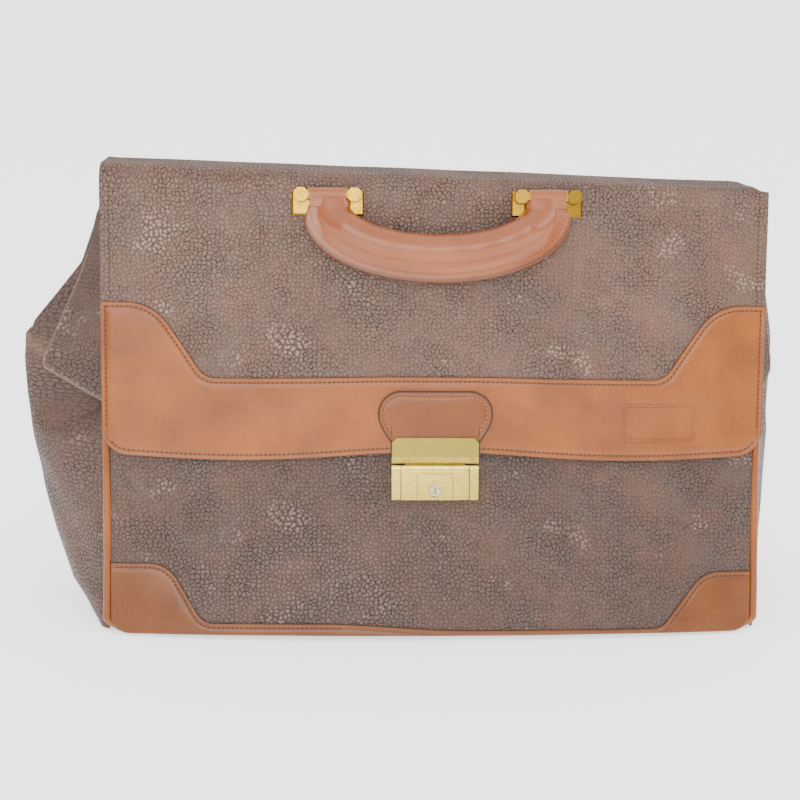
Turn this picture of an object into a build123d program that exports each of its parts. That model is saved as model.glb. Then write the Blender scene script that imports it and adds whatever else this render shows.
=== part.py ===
from build123d import *
import math
import os

# A doctor bag with a hinged steel mouth frame, a leather flap over the mouth, a swinging
# handle on two brass brackets and a brass slide lock.  All sizes are in millimetres.
# The bag stands on z = 0, its front faces -Y, and the origin is the middle of its base.

# ---------------------------------------------------------------- driving dimensions
# Body
PANEL_WIDTH = 418.0         # front and back panels, side edge to side edge
BASE_DEPTH = 147.0          # between the two fold lines where the panels leave the base
FOLD_HEIGHT = 3.0           # height of those fold lines
BAR_HEIGHT = 276.0          # height of the frame bars when the bag is shut
BAR_SPACING = 20.0          # between the two bar axes when the bag is shut
LEATHER = 1.6               # grained outer leather
BOARD = 1.4                 # stiffening board
LINING = 0.8                # cloth lining
CORNER_RADIUS = 12.0        # lower corners of the panels and corners of the base
PANEL_FOOT = 2.5            # how far a panel runs past its fold line
FIT_GAP = 0.5               # gap wherever two bodies pass each other
PIPING_RADIUS = 2.5
TRIM_LEATHER = 1.2          # smooth tan leather sewn on the panels and the flap

# Side gussets, which bulge out further on one side than on the other
GUSSET_THICKNESS = 2.4
LEFT_BULGE = 46.0
RIGHT_BULGE = 15.0
# share of the bar height, share of the full bulge
GUSSET_SECTIONS = [(0.004, 0.04), (0.2, 0.5), (0.5, 0.95), (0.7, 1.0), (0.93, 0.06)]

# Mouth frame: two U-shaped steel strips joined by a rivet at each end
STRIP_WIDTH = 8.0
STRIP_THICKNESS = 2.5
ARM_LENGTH = 65.0           # bar axis to hinge rivet
FRAME_HALF_WIDTH = 206.0    # outside of the front, wider U
ARM_GAP = 0.3               # between the front arm and the back arm
WELT_RADIUS = 5.5           # leather welt round each bar
WELT_SETBACK = 8.0          # welt end to the outside of its U
RIVET_RADIUS = 2.4
RIVET_HEAD_RADIUS = 4.5
RIVET_HEAD = 1.5
RIVET_CLEARANCE = 0.05

# Flap: up from the back seam, over the mouth and down the front
FLAP_HALF_WIDTH = 213.0
FLAP_SEAM = (18.5, 287.0)   # y and z of the flap's end at the back, where it folds
FLAP_TOP = 292.0            # height of the flap over the mouth
FLAP_FRONT_TOP = -21.0      # y where the front sheet would meet the top
FLAP_LIFT = 5.5             # gap line from the panel's fold plane at the lower edge
FLAP_EDGE = 115.0           # lower edge, measured up the front panel
FLAP_LINING = 1.4
FLAP_BACK_RADIUS = 4.5
ANCHOR_THICKNESS = 2.4      # upright part of the strip that ties the flap to the back
ANCHOR_GAP = 0.3            # between that strip and the flap's end
FLAP_FRONT_RADIUS = 9.0
FLAP_CORNER_RADIUS = 16.0

# Tan band along the flap's lower edge, higher at both ends
BAND_MIDDLE = 49.5          # band height in the middle
BAND_END = 96.5             # band height at the sides
BAND_SHOULDER = 33.0        # side edge to the start of the slope
BAND_FOOT = 65.0            # side edge to the end of the slope
BAND_SHOULDER_RADIUS = 32.0
BAND_FOOT_RADIUS = 14.0

# Tan trim along the foot of each panel, with raised corners
TRIM_STRIP = 5.0
TRIM_END = 46.0
TRIM_SHOULDER = 37.0
TRIM_FOOT = 60.0
TRIM_SHOULDER_RADIUS = 22.0
TRIM_FOOT_RADIUS = 12.0

# Lock
LOCK_WIDTH = 56.0
LOCK_HEIGHT = 22.6
LOCK_TOP = 107.3            # measured up the front panel
LOCK_DEPTH = 8.0            # how far the case stands out
COLUMN_WIDTH = 5.6
CASE_FLOOR = 1.4
SLIDE_GAP = 0.5
SLIDE_COVER = 2.4
LOCK_TRAVEL = 4.2
KEY_RADIUS = 3.8
KEY_DROP = 16.4             # lock top to the key's axis
KEY_CLEARANCE = 0.08
KEY_PAD = (22.4, 16.8)      # raised pad round the key
CAM_HALF_WIDTH = 1.6
CAM_REACH = 3.2
SPRING_WIRE = 0.3
SPRING_CLEARANCE = 0.2      # coil to the case floor and to the slide
SPRING_PITCH = 1.45
SPRING_X = 14.0
SPRING_HEIGHT = 8.6
HASP_HEIGHT = 12.4
HASP_THICKNESS = 1.2
HASP_CHAMFER = 3.0
HASP_DROP = 2.0             # hasp plate's lower edge below the flap's edge
TONGUE_HALF_WIDTH = 19.0
TONGUE_DEPTH = 3.8          # tongue behind the slide's cover
TONGUE_THICKNESS = 1.2
TAB_LEATHER = 1.4
TAB_HALF_NECK = 28.0
TAB_HALF_WIDTH = 38.5
TAB_HEIGHT = 38.5
TAB_TOP_HALF_WIDTH = 33.0
PLATE_RIVET_RADIUS = 1.5
BACKING = 1.0               # thickness of the plates inside

# Handle and its brackets
BRACKET_SPACING = 139.0     # bracket centre to bracket centre
PLATE_WIDTH = 45.5
PLATE_HEIGHT = 16.0
PLATE_THICKNESS = 1.5
PLATE_CENTRE = 160.0        # measured up the flap's front sheet
LUG = 8.5                   # side of the faceted lugs
LUG_SPACING = 33.5
LUG_DEPTH = 10.0
PIVOT_RISE = 5.0            # pivot line above the plate's centre
PIVOT_STANDOFF = 5.6        # pivot line off the plate
PIN_RADIUS = 2.0
PIN_CLEARANCE = 0.06
PIN_SEAT = 0.02
LOOP_RADIUS = 4.3
LOOP_WIDTH = 22.6
WASHER = 0.9
WASHER_RADIUS = 4.1
NECK_LENGTH = 8.0           # pivot line to where the grip widens
GRIP_RADIUS = 10.5
GRIP_END_DEPTH = 5.0        # half depth of the grip at its ends
GRIP_DROP = 38.5            # pivot line to the grip's middle
GRIP_INSET = 3.5            # grip ends inside the bracket centres
CORE_RADIUS = 7.5
FLANGE_THICKNESS = 4.4
FLANGE_DROP = 59.0          # pivot line to the flange's lower edge
FLANGE_HALF_WIDTH = 86.5
HANDLE_REST_GAP = 1.3       # between the hanging handle and the flap

# ---------------------------------------------------------------- derived frames
HALF_DEPTH = BASE_DEPTH / 2
HALF_WIDTH = PANEL_WIDTH / 2
HALF_BARS = BAR_SPACING / 2
LEAN = math.degrees(math.atan2(HALF_DEPTH - HALF_BARS, BAR_HEIGHT - FOLD_HEIGHT))
SLOPE = math.hypot(HALF_DEPTH - HALF_BARS, BAR_HEIGHT - FOLD_HEIGHT)


def leaning_plane(foot, lean):
    """A plane whose x runs across the bag, y up the leaning face and z out of it."""
    angle = math.radians(lean)
    return Plane(
        origin=(0, foot[0], foot[1]),
        x_dir=(1, 0, 0),
        z_dir=(0, -math.cos(angle), math.sin(angle)),
    )


def point_on(plane, up, out):
    """The (y, z) of a point given as height up a leaning plane and distance out of it."""
    point = plane.from_local_coords((0, up, out))
    return point.Y, point.Z


PANEL_PLANE = leaning_plane((-HALF_DEPTH, FOLD_HEIGHT), LEAN)
FLAP_FOOT = point_on(PANEL_PLANE, FLAP_EDGE, FLAP_LIFT)
FLAP_LEAN = math.degrees(
    math.atan2(FLAP_FRONT_TOP - FLAP_FOOT[0], FLAP_TOP - FLAP_FOOT[1])
)
FLAP_PLANE = leaning_plane(FLAP_FOOT, FLAP_LEAN)

ARM_ANGLE = math.degrees(math.asin(HALF_BARS / ARM_LENGTH))
BAND_FACE = LEATHER + TRIM_LEATHER
TAB_FACE = BAND_FACE + TAB_LEATHER
HASP_FACE = TAB_FACE + HASP_THICKNESS
PIVOT_UP = PLATE_CENTRE + PIVOT_RISE
PIVOT_OUT = LEATHER + PLATE_THICKNESS + PIVOT_STANDOFF
LOCK_BASE = LEATHER
LOCK_FACE = LOCK_BASE + LOCK_DEPTH
KEY_UP = LOCK_TOP - KEY_DROP
SPRING_ROOM = LOCK_DEPTH - SLIDE_COVER - CASE_FLOOR
SPRING_RADIUS = SPRING_ROOM / 2 - SPRING_CLEARANCE - SPRING_WIRE
HANDLE_STANDOFF = GRIP_RADIUS + HANDLE_REST_GAP - PLATE_THICKNESS - PIVOT_STANDOFF
HANDLE_TILT = math.degrees(math.asin(HANDLE_STANDOFF / GRIP_DROP))
TOP_NOTCH = FRAME_HALF_WIDTH - WELT_SETBACK + 1.5


# ---------------------------------------------------------------- helpers
def slab(plane, half_width, low, high, inside, outside):
    """A box on a leaning plane: up from low to high, out from inside to outside."""
    box = Box(2 * half_width, high - low, outside - inside)
    return plane.location * Pos(0, (low + high) / 2, (inside + outside) / 2) * box


def raised(plane, sketch, inside, outside):
    """A flat shape drawn on a leaning plane, from inside to outside."""
    return plane.location * extrude(Pos(0, 0, inside) * sketch, outside - inside)


def peg(plane, x, up, radius, inside, outside):
    """A round peg that stands square to a leaning plane."""
    body = Cylinder(radius, outside - inside, align=(Align.CENTER, Align.CENTER, Align.MIN))
    return plane.location * Pos(x, up, inside) * body


def cross_bar(profile, half_width):
    """A (y, z) outline run across the bag, the same distance to both sides."""
    outline = Plane.YZ * make_face(Polyline(*profile, close=True))
    return extrude(outline, half_width, both=True)


def disc_across(x, y, z, radius, thickness):
    """A disc whose axis runs across the bag; x is its middle."""
    return Pos(x, y, z) * Rot(0, 90, 0) * Cylinder(radius, thickness)


def stepped_outline(half_width, foot, middle, end, shoulder, slope_end, radii):
    """The tan leather outline: low in the middle, raised at both ends by a sloping step."""
    shoulder_radius, foot_radius = radii
    step = [
        (-half_width, end),
        (-half_width + shoulder, end),
        (-half_width + slope_end, middle),
        (0, middle),
    ]
    left = FilletPolyline(*step, radius=[shoulder_radius, foot_radius])
    right = mirror(left, about=Plane.YZ)
    sides = Polyline((-half_width, end), (-half_width, foot), (half_width, foot), (half_width, end))
    return make_face([left, right, sides])


def rounded_foot(plane, half_width, foot, radius):
    """Cutters that round the two lower corners of a sheet on a leaning plane."""
    reach = 20.0
    cutters = []
    for side in (-1, 1):
        corner = Pos(side * (half_width - radius / 2), foot + radius / 2) * Rectangle(radius, radius)
        corner -= Pos(side * (half_width - radius), foot + radius) * Circle(radius)
        cutters.append(raised(plane, corner, -reach, reach))
    return cutters


def back_of(shape):
    """The same piece on the back of the bag."""
    return mirror(shape, about=Plane.XZ)


# ---------------------------------------------------------------- body
def panel_sheet(inside, outside, top_gap, notch):
    """One layer of the front panel, notched at the top corners for the frame's arms."""
    top = SLOPE - WELT_RADIUS - top_gap
    layer = slab(PANEL_PLANE, HALF_WIDTH, -PANEL_FOOT, top, inside, outside)
    for cutter in rounded_foot(PANEL_PLANE, HALF_WIDTH, -PANEL_FOOT, CORNER_RADIUS):
        layer -= cutter
    width = HALF_WIDTH - TOP_NOTCH
    for side in (-1, 1):
        cutter = Box(2 * width, notch, 4 * (outside - inside))
        layer -= PANEL_PLANE.location * Pos(side * HALF_WIDTH, SLOPE - notch / 2, inside) * cutter
    return layer


def panel_layers():
    leather = panel_sheet(0, LEATHER, FIT_GAP, 14.0)
    board = panel_sheet(-BOARD, 0, 3 * FIT_GAP, 28.0)
    lining = panel_sheet(-BOARD - LINING, -BOARD, 3 * FIT_GAP, 28.0)
    return leather, board, lining


def base_trim():
    """Tan leather along the foot of the panel, with raised corners."""
    outline = stepped_outline(
        HALF_WIDTH, -PANEL_FOOT, TRIM_STRIP, TRIM_END, TRIM_SHOULDER, TRIM_FOOT,
        (TRIM_SHOULDER_RADIUS, TRIM_FOOT_RADIUS),
    )
    trim = raised(PANEL_PLANE, outline, LEATHER, LEATHER + TRIM_LEATHER)
    for cutter in rounded_foot(PANEL_PLANE, HALF_WIDTH, -PANEL_FOOT, CORNER_RADIUS):
        trim -= cutter
    return trim


def piping(side):
    """The tan piping bead along one side seam of the front panel."""
    low, high = -1.0, SLOPE - WELT_RADIUS - 2 * FIT_GAP
    bead = Cylinder(PIPING_RADIUS, high - low)
    place = Pos(side * (HALF_WIDTH + PIPING_RADIUS), (low + high) / 2, 0) * Rot(90, 0, 0)
    return PANEL_PLANE.location * place * bead


def base_layer(low, high, inset):
    """One layer of the base, with rounded corners."""
    half_depth = HALF_DEPTH - BOARD - LINING - FIT_GAP - inset
    outline = RectangleRounded(2 * (HALF_WIDTH - inset), 2 * half_depth, CORNER_RADIUS)
    return extrude(Pos(0, 0, low) * outline, high - low)


def gusset(side, bulge):
    """A side gusset: a folded sheet that bulges out between the two side seams."""
    seam_x = HALF_WIDTH + PIPING_RADIUS - 1.0
    seam_back = (PIPING_RADIUS + FIT_GAP) / math.cos(math.radians(LEAN))
    sections = []
    for height_share, bulge_share in GUSSET_SECTIONS:
        height = height_share * BAR_HEIGHT
        drop = (height - FOLD_HEIGHT) * math.tan(math.radians(LEAN))
        seam_y = HALF_DEPTH - drop - seam_back
        out = bulge * bulge_share
        outline = [
            (seam_x, -seam_y),
            (seam_x + GUSSET_THICKNESS, -seam_y),
            (seam_x + GUSSET_THICKNESS + out, 0),
            (seam_x + GUSSET_THICKNESS, seam_y),
            (seam_x, seam_y),
            (seam_x + out, 0),
        ]
        ring = [(side * x, y) for x, y in outline]
        sections.append(Pos(0, 0, height) * make_face(Polyline(*ring, close=True)))
    return loft(sections, ruled=True)


# ---------------------------------------------------------------- mouth frame
def frame_half(outside_x):
    """A U of steel strip: its bar lies on the origin and its arms hang down."""
    steel = Box(2 * outside_x, STRIP_WIDTH, STRIP_THICKNESS)
    for side in (-1, 1):
        x = side * (outside_x - STRIP_THICKNESS / 2)
        steel += Pos(x, 0, -ARM_LENGTH / 2) * Box(STRIP_THICKNESS, STRIP_WIDTH, ARM_LENGTH)
        steel += disc_across(x, 0, -ARM_LENGTH, STRIP_WIDTH / 2 + 1, STRIP_THICKNESS)
        steel -= disc_across(
            x, 0, -ARM_LENGTH, RIVET_RADIUS + RIVET_CLEARANCE, 2 * STRIP_THICKNESS
        )
    return steel


def welt(outside_x):
    """The leather welt round the bar of a frame half."""
    length = 2 * (outside_x - WELT_SETBACK)
    return disc_across(0, 0, 0, WELT_RADIUS, length) - Box(
        length, STRIP_WIDTH, STRIP_THICKNESS
    )


def rivet_halves(arm_outside, head_outward):
    """Half of each hinge rivet: the shank inside one arm and the head beyond it."""
    arm_middle = arm_outside - STRIP_THICKNESS / 2
    head_x = arm_outside if head_outward else arm_outside - STRIP_THICKNESS
    head_x += (1 if head_outward else -1) * RIVET_HEAD / 2
    halves = []
    for side in (-1, 1):
        shank = disc_across(side * arm_middle, 0, -ARM_LENGTH, RIVET_RADIUS, STRIP_THICKNESS)
        head = disc_across(side * head_x, 0, -ARM_LENGTH, RIVET_HEAD_RADIUS, RIVET_HEAD)
        halves.append(shank + head)
    return Compound(children=halves)


def on_front_bar(shape):
    """Puts a frame piece at the front bar, with its arms sloping back to the rivets."""
    return Pos(0, -HALF_BARS, BAR_HEIGHT) * Rot(ARM_ANGLE, 0, 0) * shape


# ---------------------------------------------------------------- flap
def flap_path(offset):
    """The flap's profile in (y, z), moved out by offset, from the back seam to its edge."""
    lean = math.radians(FLAP_LEAN)
    top = FLAP_TOP + offset
    foot = point_on(FLAP_PLANE, 0, offset)
    fold_y = foot[0] + (top - foot[1]) * math.tan(lean)
    corners = [(FLAP_SEAM[0] + offset, FLAP_SEAM[1]), (FLAP_SEAM[0] + offset, top), (fold_y, top), foot]
    radii = [FLAP_BACK_RADIUS + offset, FLAP_FRONT_RADIUS + offset]
    return FilletPolyline(*corners, radius=radii), corners[0], corners[-1]


def flap_layer(inside, outside):
    """One layer of the flap across the bag, with its lower corners rounded."""
    inner, inner_start, inner_end = flap_path(inside)
    outer, outer_start, outer_end = flap_path(outside)
    outline = make_face([inner, outer, Line(inner_start, outer_start), Line(inner_end, outer_end)])
    layer = extrude(Plane.YZ * outline, FLAP_HALF_WIDTH, both=True)
    for cutter in rounded_foot(FLAP_PLANE, FLAP_HALF_WIDTH, 0, FLAP_CORNER_RADIUS):
        layer -= cutter
    return layer


def flap_anchor():
    """The strip sewn to the back panel that stands up behind the frame to the flap's end."""
    low, knee = SLOPE - 34, SLOPE - 12
    outer_top = (FLAP_SEAM[0] + LEATHER, FLAP_SEAM[1] - ANCHOR_GAP)
    front_facing = [point_on(PANEL_PLANE, up, LEATHER) for up in (knee, low)]
    front_facing += [point_on(PANEL_PLANE, up, LEATHER + TRIM_LEATHER) for up in (low, knee)]
    profile = [(-y, z) for y, z in front_facing]
    profile += [outer_top, (outer_top[0] - ANCHOR_THICKNESS, outer_top[1])]
    return cross_bar(profile, HALF_WIDTH - 2)


def flap_band():
    outline = stepped_outline(
        FLAP_HALF_WIDTH, 0, BAND_MIDDLE, BAND_END, BAND_SHOULDER, BAND_FOOT,
        (BAND_SHOULDER_RADIUS, BAND_FOOT_RADIUS),
    )
    band = raised(FLAP_PLANE, outline, LEATHER, BAND_FACE)
    for cutter in rounded_foot(FLAP_PLANE, FLAP_HALF_WIDTH, 0, FLAP_CORNER_RADIUS):
        band -= cutter
    return band


def lock_tab():
    """The small leather tab that carries the hasp plate."""
    low, waist, shoulder = -HASP_DROP, 10.0, 26.0
    right = [
        (TAB_HALF_NECK, low),
        (TAB_HALF_NECK, waist),
        (TAB_HALF_WIDTH, shoulder),
        (TAB_TOP_HALF_WIDTH, TAB_HEIGHT),
        (0, TAB_HEIGHT),
    ]
    edge = FilletPolyline(*right, radius=[12.0, 8.0, 8.0])
    foot = Line((-TAB_HALF_NECK, low), (TAB_HALF_NECK, low))
    outline = make_face([edge, mirror(edge, about=Plane.YZ), foot])
    return raised(FLAP_PLANE, outline, BAND_FACE, TAB_FACE)


def hasp():
    """The brass plate on the tab, its bent lip and the tongue that drops behind the slide."""
    high = HASP_HEIGHT - HASP_DROP
    plate = Pos(0, (high - HASP_DROP) / 2) * Rectangle(LOCK_WIDTH, HASP_HEIGHT)
    plate = chamfer(plate.vertices().sort_by(Axis.Y)[-2:], HASP_CHAMFER)
    lip_low = LOCK_TOP + 0.9
    tongue_out = LOCK_FACE - SLIDE_COVER - 0.4
    lip = [
        point_on(FLAP_PLANE, -HASP_DROP, TAB_FACE),
        point_on(FLAP_PLANE, -HASP_DROP, HASP_FACE),
        point_on(PANEL_PLANE, lip_low, tongue_out + 1.0),
        point_on(PANEL_PLANE, lip_low, tongue_out - TONGUE_THICKNESS),
    ]
    tongue = [
        point_on(PANEL_PLANE, lip_low, tongue_out),
        point_on(PANEL_PLANE, lip_low, tongue_out - TONGUE_THICKNESS),
        point_on(PANEL_PLANE, LOCK_TOP - TONGUE_DEPTH, tongue_out - TONGUE_THICKNESS),
        point_on(PANEL_PLANE, LOCK_TOP - TONGUE_DEPTH, tongue_out),
    ]
    brass = raised(FLAP_PLANE, plate, TAB_FACE, HASP_FACE)
    brass += cross_bar(lip, LOCK_WIDTH / 2)
    return brass + cross_bar(tongue, TONGUE_HALF_WIDTH)


# ---------------------------------------------------------------- lock
def lock_case():
    """The brass case: a floor, two round-topped columns and two spring seats."""
    low = LOCK_TOP - LOCK_HEIGHT
    column = slab(PANEL_PLANE, COLUMN_WIDTH / 2, low, LOCK_TOP, LOCK_BASE, LOCK_FACE)
    top_edges = column.edges().filter_by(Axis.X).group_by(Axis.Z)[-1]
    column = fillet(top_edges, 2.0)
    floor_top = LOCK_TOP - TONGUE_DEPTH - 1.0
    case = slab(PANEL_PLANE, LOCK_WIDTH / 2 - 1, low, floor_top, LOCK_BASE, LOCK_BASE + CASE_FLOOR)
    for side in (-1, 1):
        case += Pos(side * (LOCK_WIDTH - COLUMN_WIDTH) / 2, 0, 0) * column
        seat = slab(PANEL_PLANE, 2.5, low + 0.3, low + 1.5, LOCK_BASE, LOCK_FACE - SLIDE_COVER - 0.8)
        case += Pos(side * SPRING_X, 0, 0) * seat
    return case


def lock_slide():
    """The cover between the columns, with the key's pad and boss and a spring ledge."""
    low = LOCK_TOP - LOCK_HEIGHT
    half = LOCK_WIDTH / 2 - COLUMN_WIDTH - SLIDE_GAP
    under = LOCK_FACE - SLIDE_COVER
    cover = slab(PANEL_PLANE, half, low, LOCK_TOP, under, LOCK_FACE)
    top_edge = cover.edges().filter_by(Axis.X).group_by(Axis.Z)[-1].sort_by(Axis.Y)[:1]
    cover = fillet(top_edge, SLIDE_COVER - 0.6)
    pad_width, pad_height = KEY_PAD
    pad = slab(PANEL_PLANE, pad_width / 2, low, low + pad_height, LOCK_FACE, LOCK_FACE + 0.7)
    ledge_low = low + 1.5 + SPRING_HEIGHT + 0.1
    floor = LOCK_BASE + CASE_FLOOR + 0.4
    ledge = slab(PANEL_PLANE, SPRING_X + 3, ledge_low, ledge_low + 2.0, floor, under)
    boss = peg(PANEL_PLANE, 0, KEY_UP, KEY_RADIUS + 1.4, floor + 1.2, under)
    bore = peg(PANEL_PLANE, 0, KEY_UP, KEY_RADIUS + KEY_CLEARANCE, 0, LOCK_FACE + 2)
    return cover + pad + ledge + boss - bore


def key_cylinder():
    """The key's plug, with its slot."""
    floor = LOCK_BASE + CASE_FLOOR + 1.4
    plug = peg(PANEL_PLANE, 0, KEY_UP, KEY_RADIUS, floor, LOCK_FACE + 1.3)
    slot = Pos(0, KEY_UP, LOCK_FACE) * Box(0.9, 4.4, 6.0)
    return plug - PANEL_PLANE.location * slot


def lock_cam():
    """The small lever on the inner end of the key's plug."""
    floor = LOCK_BASE + CASE_FLOOR + 0.4
    return slab(PANEL_PLANE, CAM_HALF_WIDTH, KEY_UP - CAM_HALF_WIDTH, KEY_UP + CAM_REACH, floor, floor + 0.9)


def lock_springs():
    """The two coil springs that push the slide up."""
    low = LOCK_TOP - LOCK_HEIGHT + 1.5 + SPRING_WIRE + 0.05
    run = SPRING_HEIGHT - 2 * SPRING_WIRE - 0.1
    coil = Helix(SPRING_PITCH, run, SPRING_RADIUS)
    wire = sweep(Plane(origin=coil @ 0, z_dir=coil % 0) * Circle(SPRING_WIRE), path=coil, is_frenet=True)
    middle = LOCK_BASE + CASE_FLOOR + SPRING_ROOM / 2
    coils = []
    for side in (-1, 1):
        place = Pos(side * SPRING_X, low, middle) * Rot(-90, 0, 0)
        coils.append(PANEL_PLANE.location * place * wire)
    return Compound(children=coils)


def index_pins():
    """The two small studs under the key."""
    low = LOCK_TOP - LOCK_HEIGHT + 1.3
    face = LOCK_FACE + 0.7
    return Compound(children=[peg(PANEL_PLANE, x, low, 0.8, face, face + 0.6) for x in (-1.3, 1.3)])


# ---------------------------------------------------------------- handle
def bracket_centre(side):
    return side * BRACKET_SPACING / 2


def bracket(side):
    """A bevelled brass plate with two faceted lugs bored for the pin."""
    x = bracket_centre(side)
    top = LEATHER + PLATE_THICKNESS
    plate = Pos(x, PLATE_CENTRE, LEATHER + PLATE_THICKNESS / 2) * Box(
        PLATE_WIDTH, PLATE_HEIGHT, PLATE_THICKNESS
    )
    plate = chamfer(plate.faces().sort_by(Axis.Z)[-1].edges(), PLATE_THICKNESS - 0.5)
    for lug_side in (-1, 1):
        lug = Pos(x + lug_side * LUG_SPACING / 2, PIVOT_UP) * Rectangle(LUG, LUG)
        lug = chamfer(lug.vertices(), LUG * 0.26)
        plate += extrude(Pos(0, 0, top) * lug, LUG_DEPTH)
    bore = Pos(x, PIVOT_UP, PIVOT_OUT) * Rot(0, 90, 0) * Cylinder(PIN_RADIUS + PIN_SEAT, PLATE_WIDTH)
    return FLAP_PLANE.location * (plate - bore)


def bracket_rivet_spots(side):
    """The plate's rivets, below the handle's loop."""
    return [(bracket_centre(side) + dx, PLATE_CENTRE - 4.5) for dx in (-9, 9)]


def pin(side):
    """The pin through both lugs of a bracket, ending flush with them."""
    length = LUG_SPACING + LUG - 0.6
    place = Pos(bracket_centre(side), PIVOT_UP, PIVOT_OUT) * Rot(0, 90, 0)
    return FLAP_PLANE.location * place * Cylinder(PIN_RADIUS, length)


def washers():
    """A washer between each lug and the handle's loop."""
    rings = []
    for side in (-1, 1):
        for end in (-1, 1):
            x = bracket_centre(side) + end * (LOOP_WIDTH / 2 + 0.1 + WASHER / 2)
            ring = Cylinder(WASHER_RADIUS, WASHER) - Cylinder(PIN_RADIUS + PIN_CLEARANCE, 2 * WASHER)
            rings.append(FLAP_PLANE.location * Pos(x, PIVOT_UP, PIVOT_OUT) * Rot(0, 90, 0) * ring)
    return Compound(children=rings)


HANDLE_PLACE = FLAP_PLANE.location * Pos(0, PIVOT_UP, PIVOT_OUT) * Rot(-HANDLE_TILT, 0, 0)


def grip_point(share):
    """Middle of the grip, in the handle's plane, from one end (0) to the other (1)."""
    angle = math.pi * (1 + share)
    half = BRACKET_SPACING / 2 - GRIP_INSET
    return Vector(half * math.cos(angle), -NECK_LENGTH + (GRIP_DROP - NECK_LENGTH) * math.sin(angle), 0)


def grip_solid(radius, end_depth, start, end, stations=13):
    """A roll along the grip's curve, flatter at its ends."""
    sections = []
    for i in range(stations):
        share = start + (end - start) * i / (stations - 1)
        along = grip_point(share + 0.001) - grip_point(share - 0.001)
        depth = end_depth + (radius - end_depth) * math.sin(math.pi * share) ** 0.7
        plane = Plane(origin=grip_point(share), x_dir=(0, 0, 1), z_dir=along)
        sections.append(plane * Ellipse(depth, radius))
    return loft(sections)


def half_ring(half_width, drop):
    """The lower half of an ellipse whose flat side is where the grip starts."""
    oval = Pos(0, -NECK_LENGTH) * Ellipse(half_width, drop - NECK_LENGTH)
    lower = Pos(0, -NECK_LENGTH - drop) * Rectangle(4 * half_width, 2 * drop)
    return oval & lower


def handle_flange():
    """The stitched lip on the outside of the grip's curve."""
    inner = half_ring(BRACKET_SPACING / 2 - GRIP_INSET, GRIP_DROP)
    outline = half_ring(FLANGE_HALF_WIDTH, FLANGE_DROP) - inner
    return extrude(outline, FLANGE_THICKNESS / 2, both=True)


def handle_core():
    return HANDLE_PLACE * grip_solid(CORE_RADIUS, GRIP_END_DEPTH - 2.0, 0.08, 0.92)


def handle_cover(core):
    """The leather roll and its stitched flange, hollow round the core."""
    cover = grip_solid(GRIP_RADIUS, GRIP_END_DEPTH, 0.0, 1.0) + handle_flange()
    return HANDLE_PLACE * cover - core


def handle_loop(side):
    """The leather loop that ties one end of the grip to its pin."""
    x = bracket_centre(side)
    loop = disc_across(x, 0, 0, LOOP_RADIUS, LOOP_WIDTH)
    neck = Pos(x, -NECK_LENGTH / 2, 0) * Box(LOOP_WIDTH, NECK_LENGTH, 2 * (LOOP_RADIUS - 1.0))
    bore = disc_across(x, 0, 0, PIN_RADIUS + PIN_CLEARANCE, 2 * LOOP_WIDTH)
    return HANDLE_PLACE * (loop + neck - bore)


# ---------------------------------------------------------------- fasteners through sheets
def rivets(plane, spots, inside, outside, head_inside):
    """Rivets at each spot; the head is at the inside end or the outside end."""
    made = []
    for x, up in spots:
        shank = peg(plane, x, up, PLATE_RIVET_RADIUS, inside, outside)
        if head_inside:
            head = peg(plane, x, up, 2 * PLATE_RIVET_RADIUS, inside - 0.8, inside)
        else:
            head = peg(plane, x, up, 2 * PLATE_RIVET_RADIUS, outside, outside + 0.8)
        made.append(shank + head)
    return Compound(children=made)


def pierced(sheet, plane, spots):
    """A sheet with a clearance hole at each rivet."""
    reach = 25.0
    for x, up in spots:
        sheet -= peg(plane, x, up, PLATE_RIVET_RADIUS + RIVET_CLEARANCE, -reach, reach)
    return sheet


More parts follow.
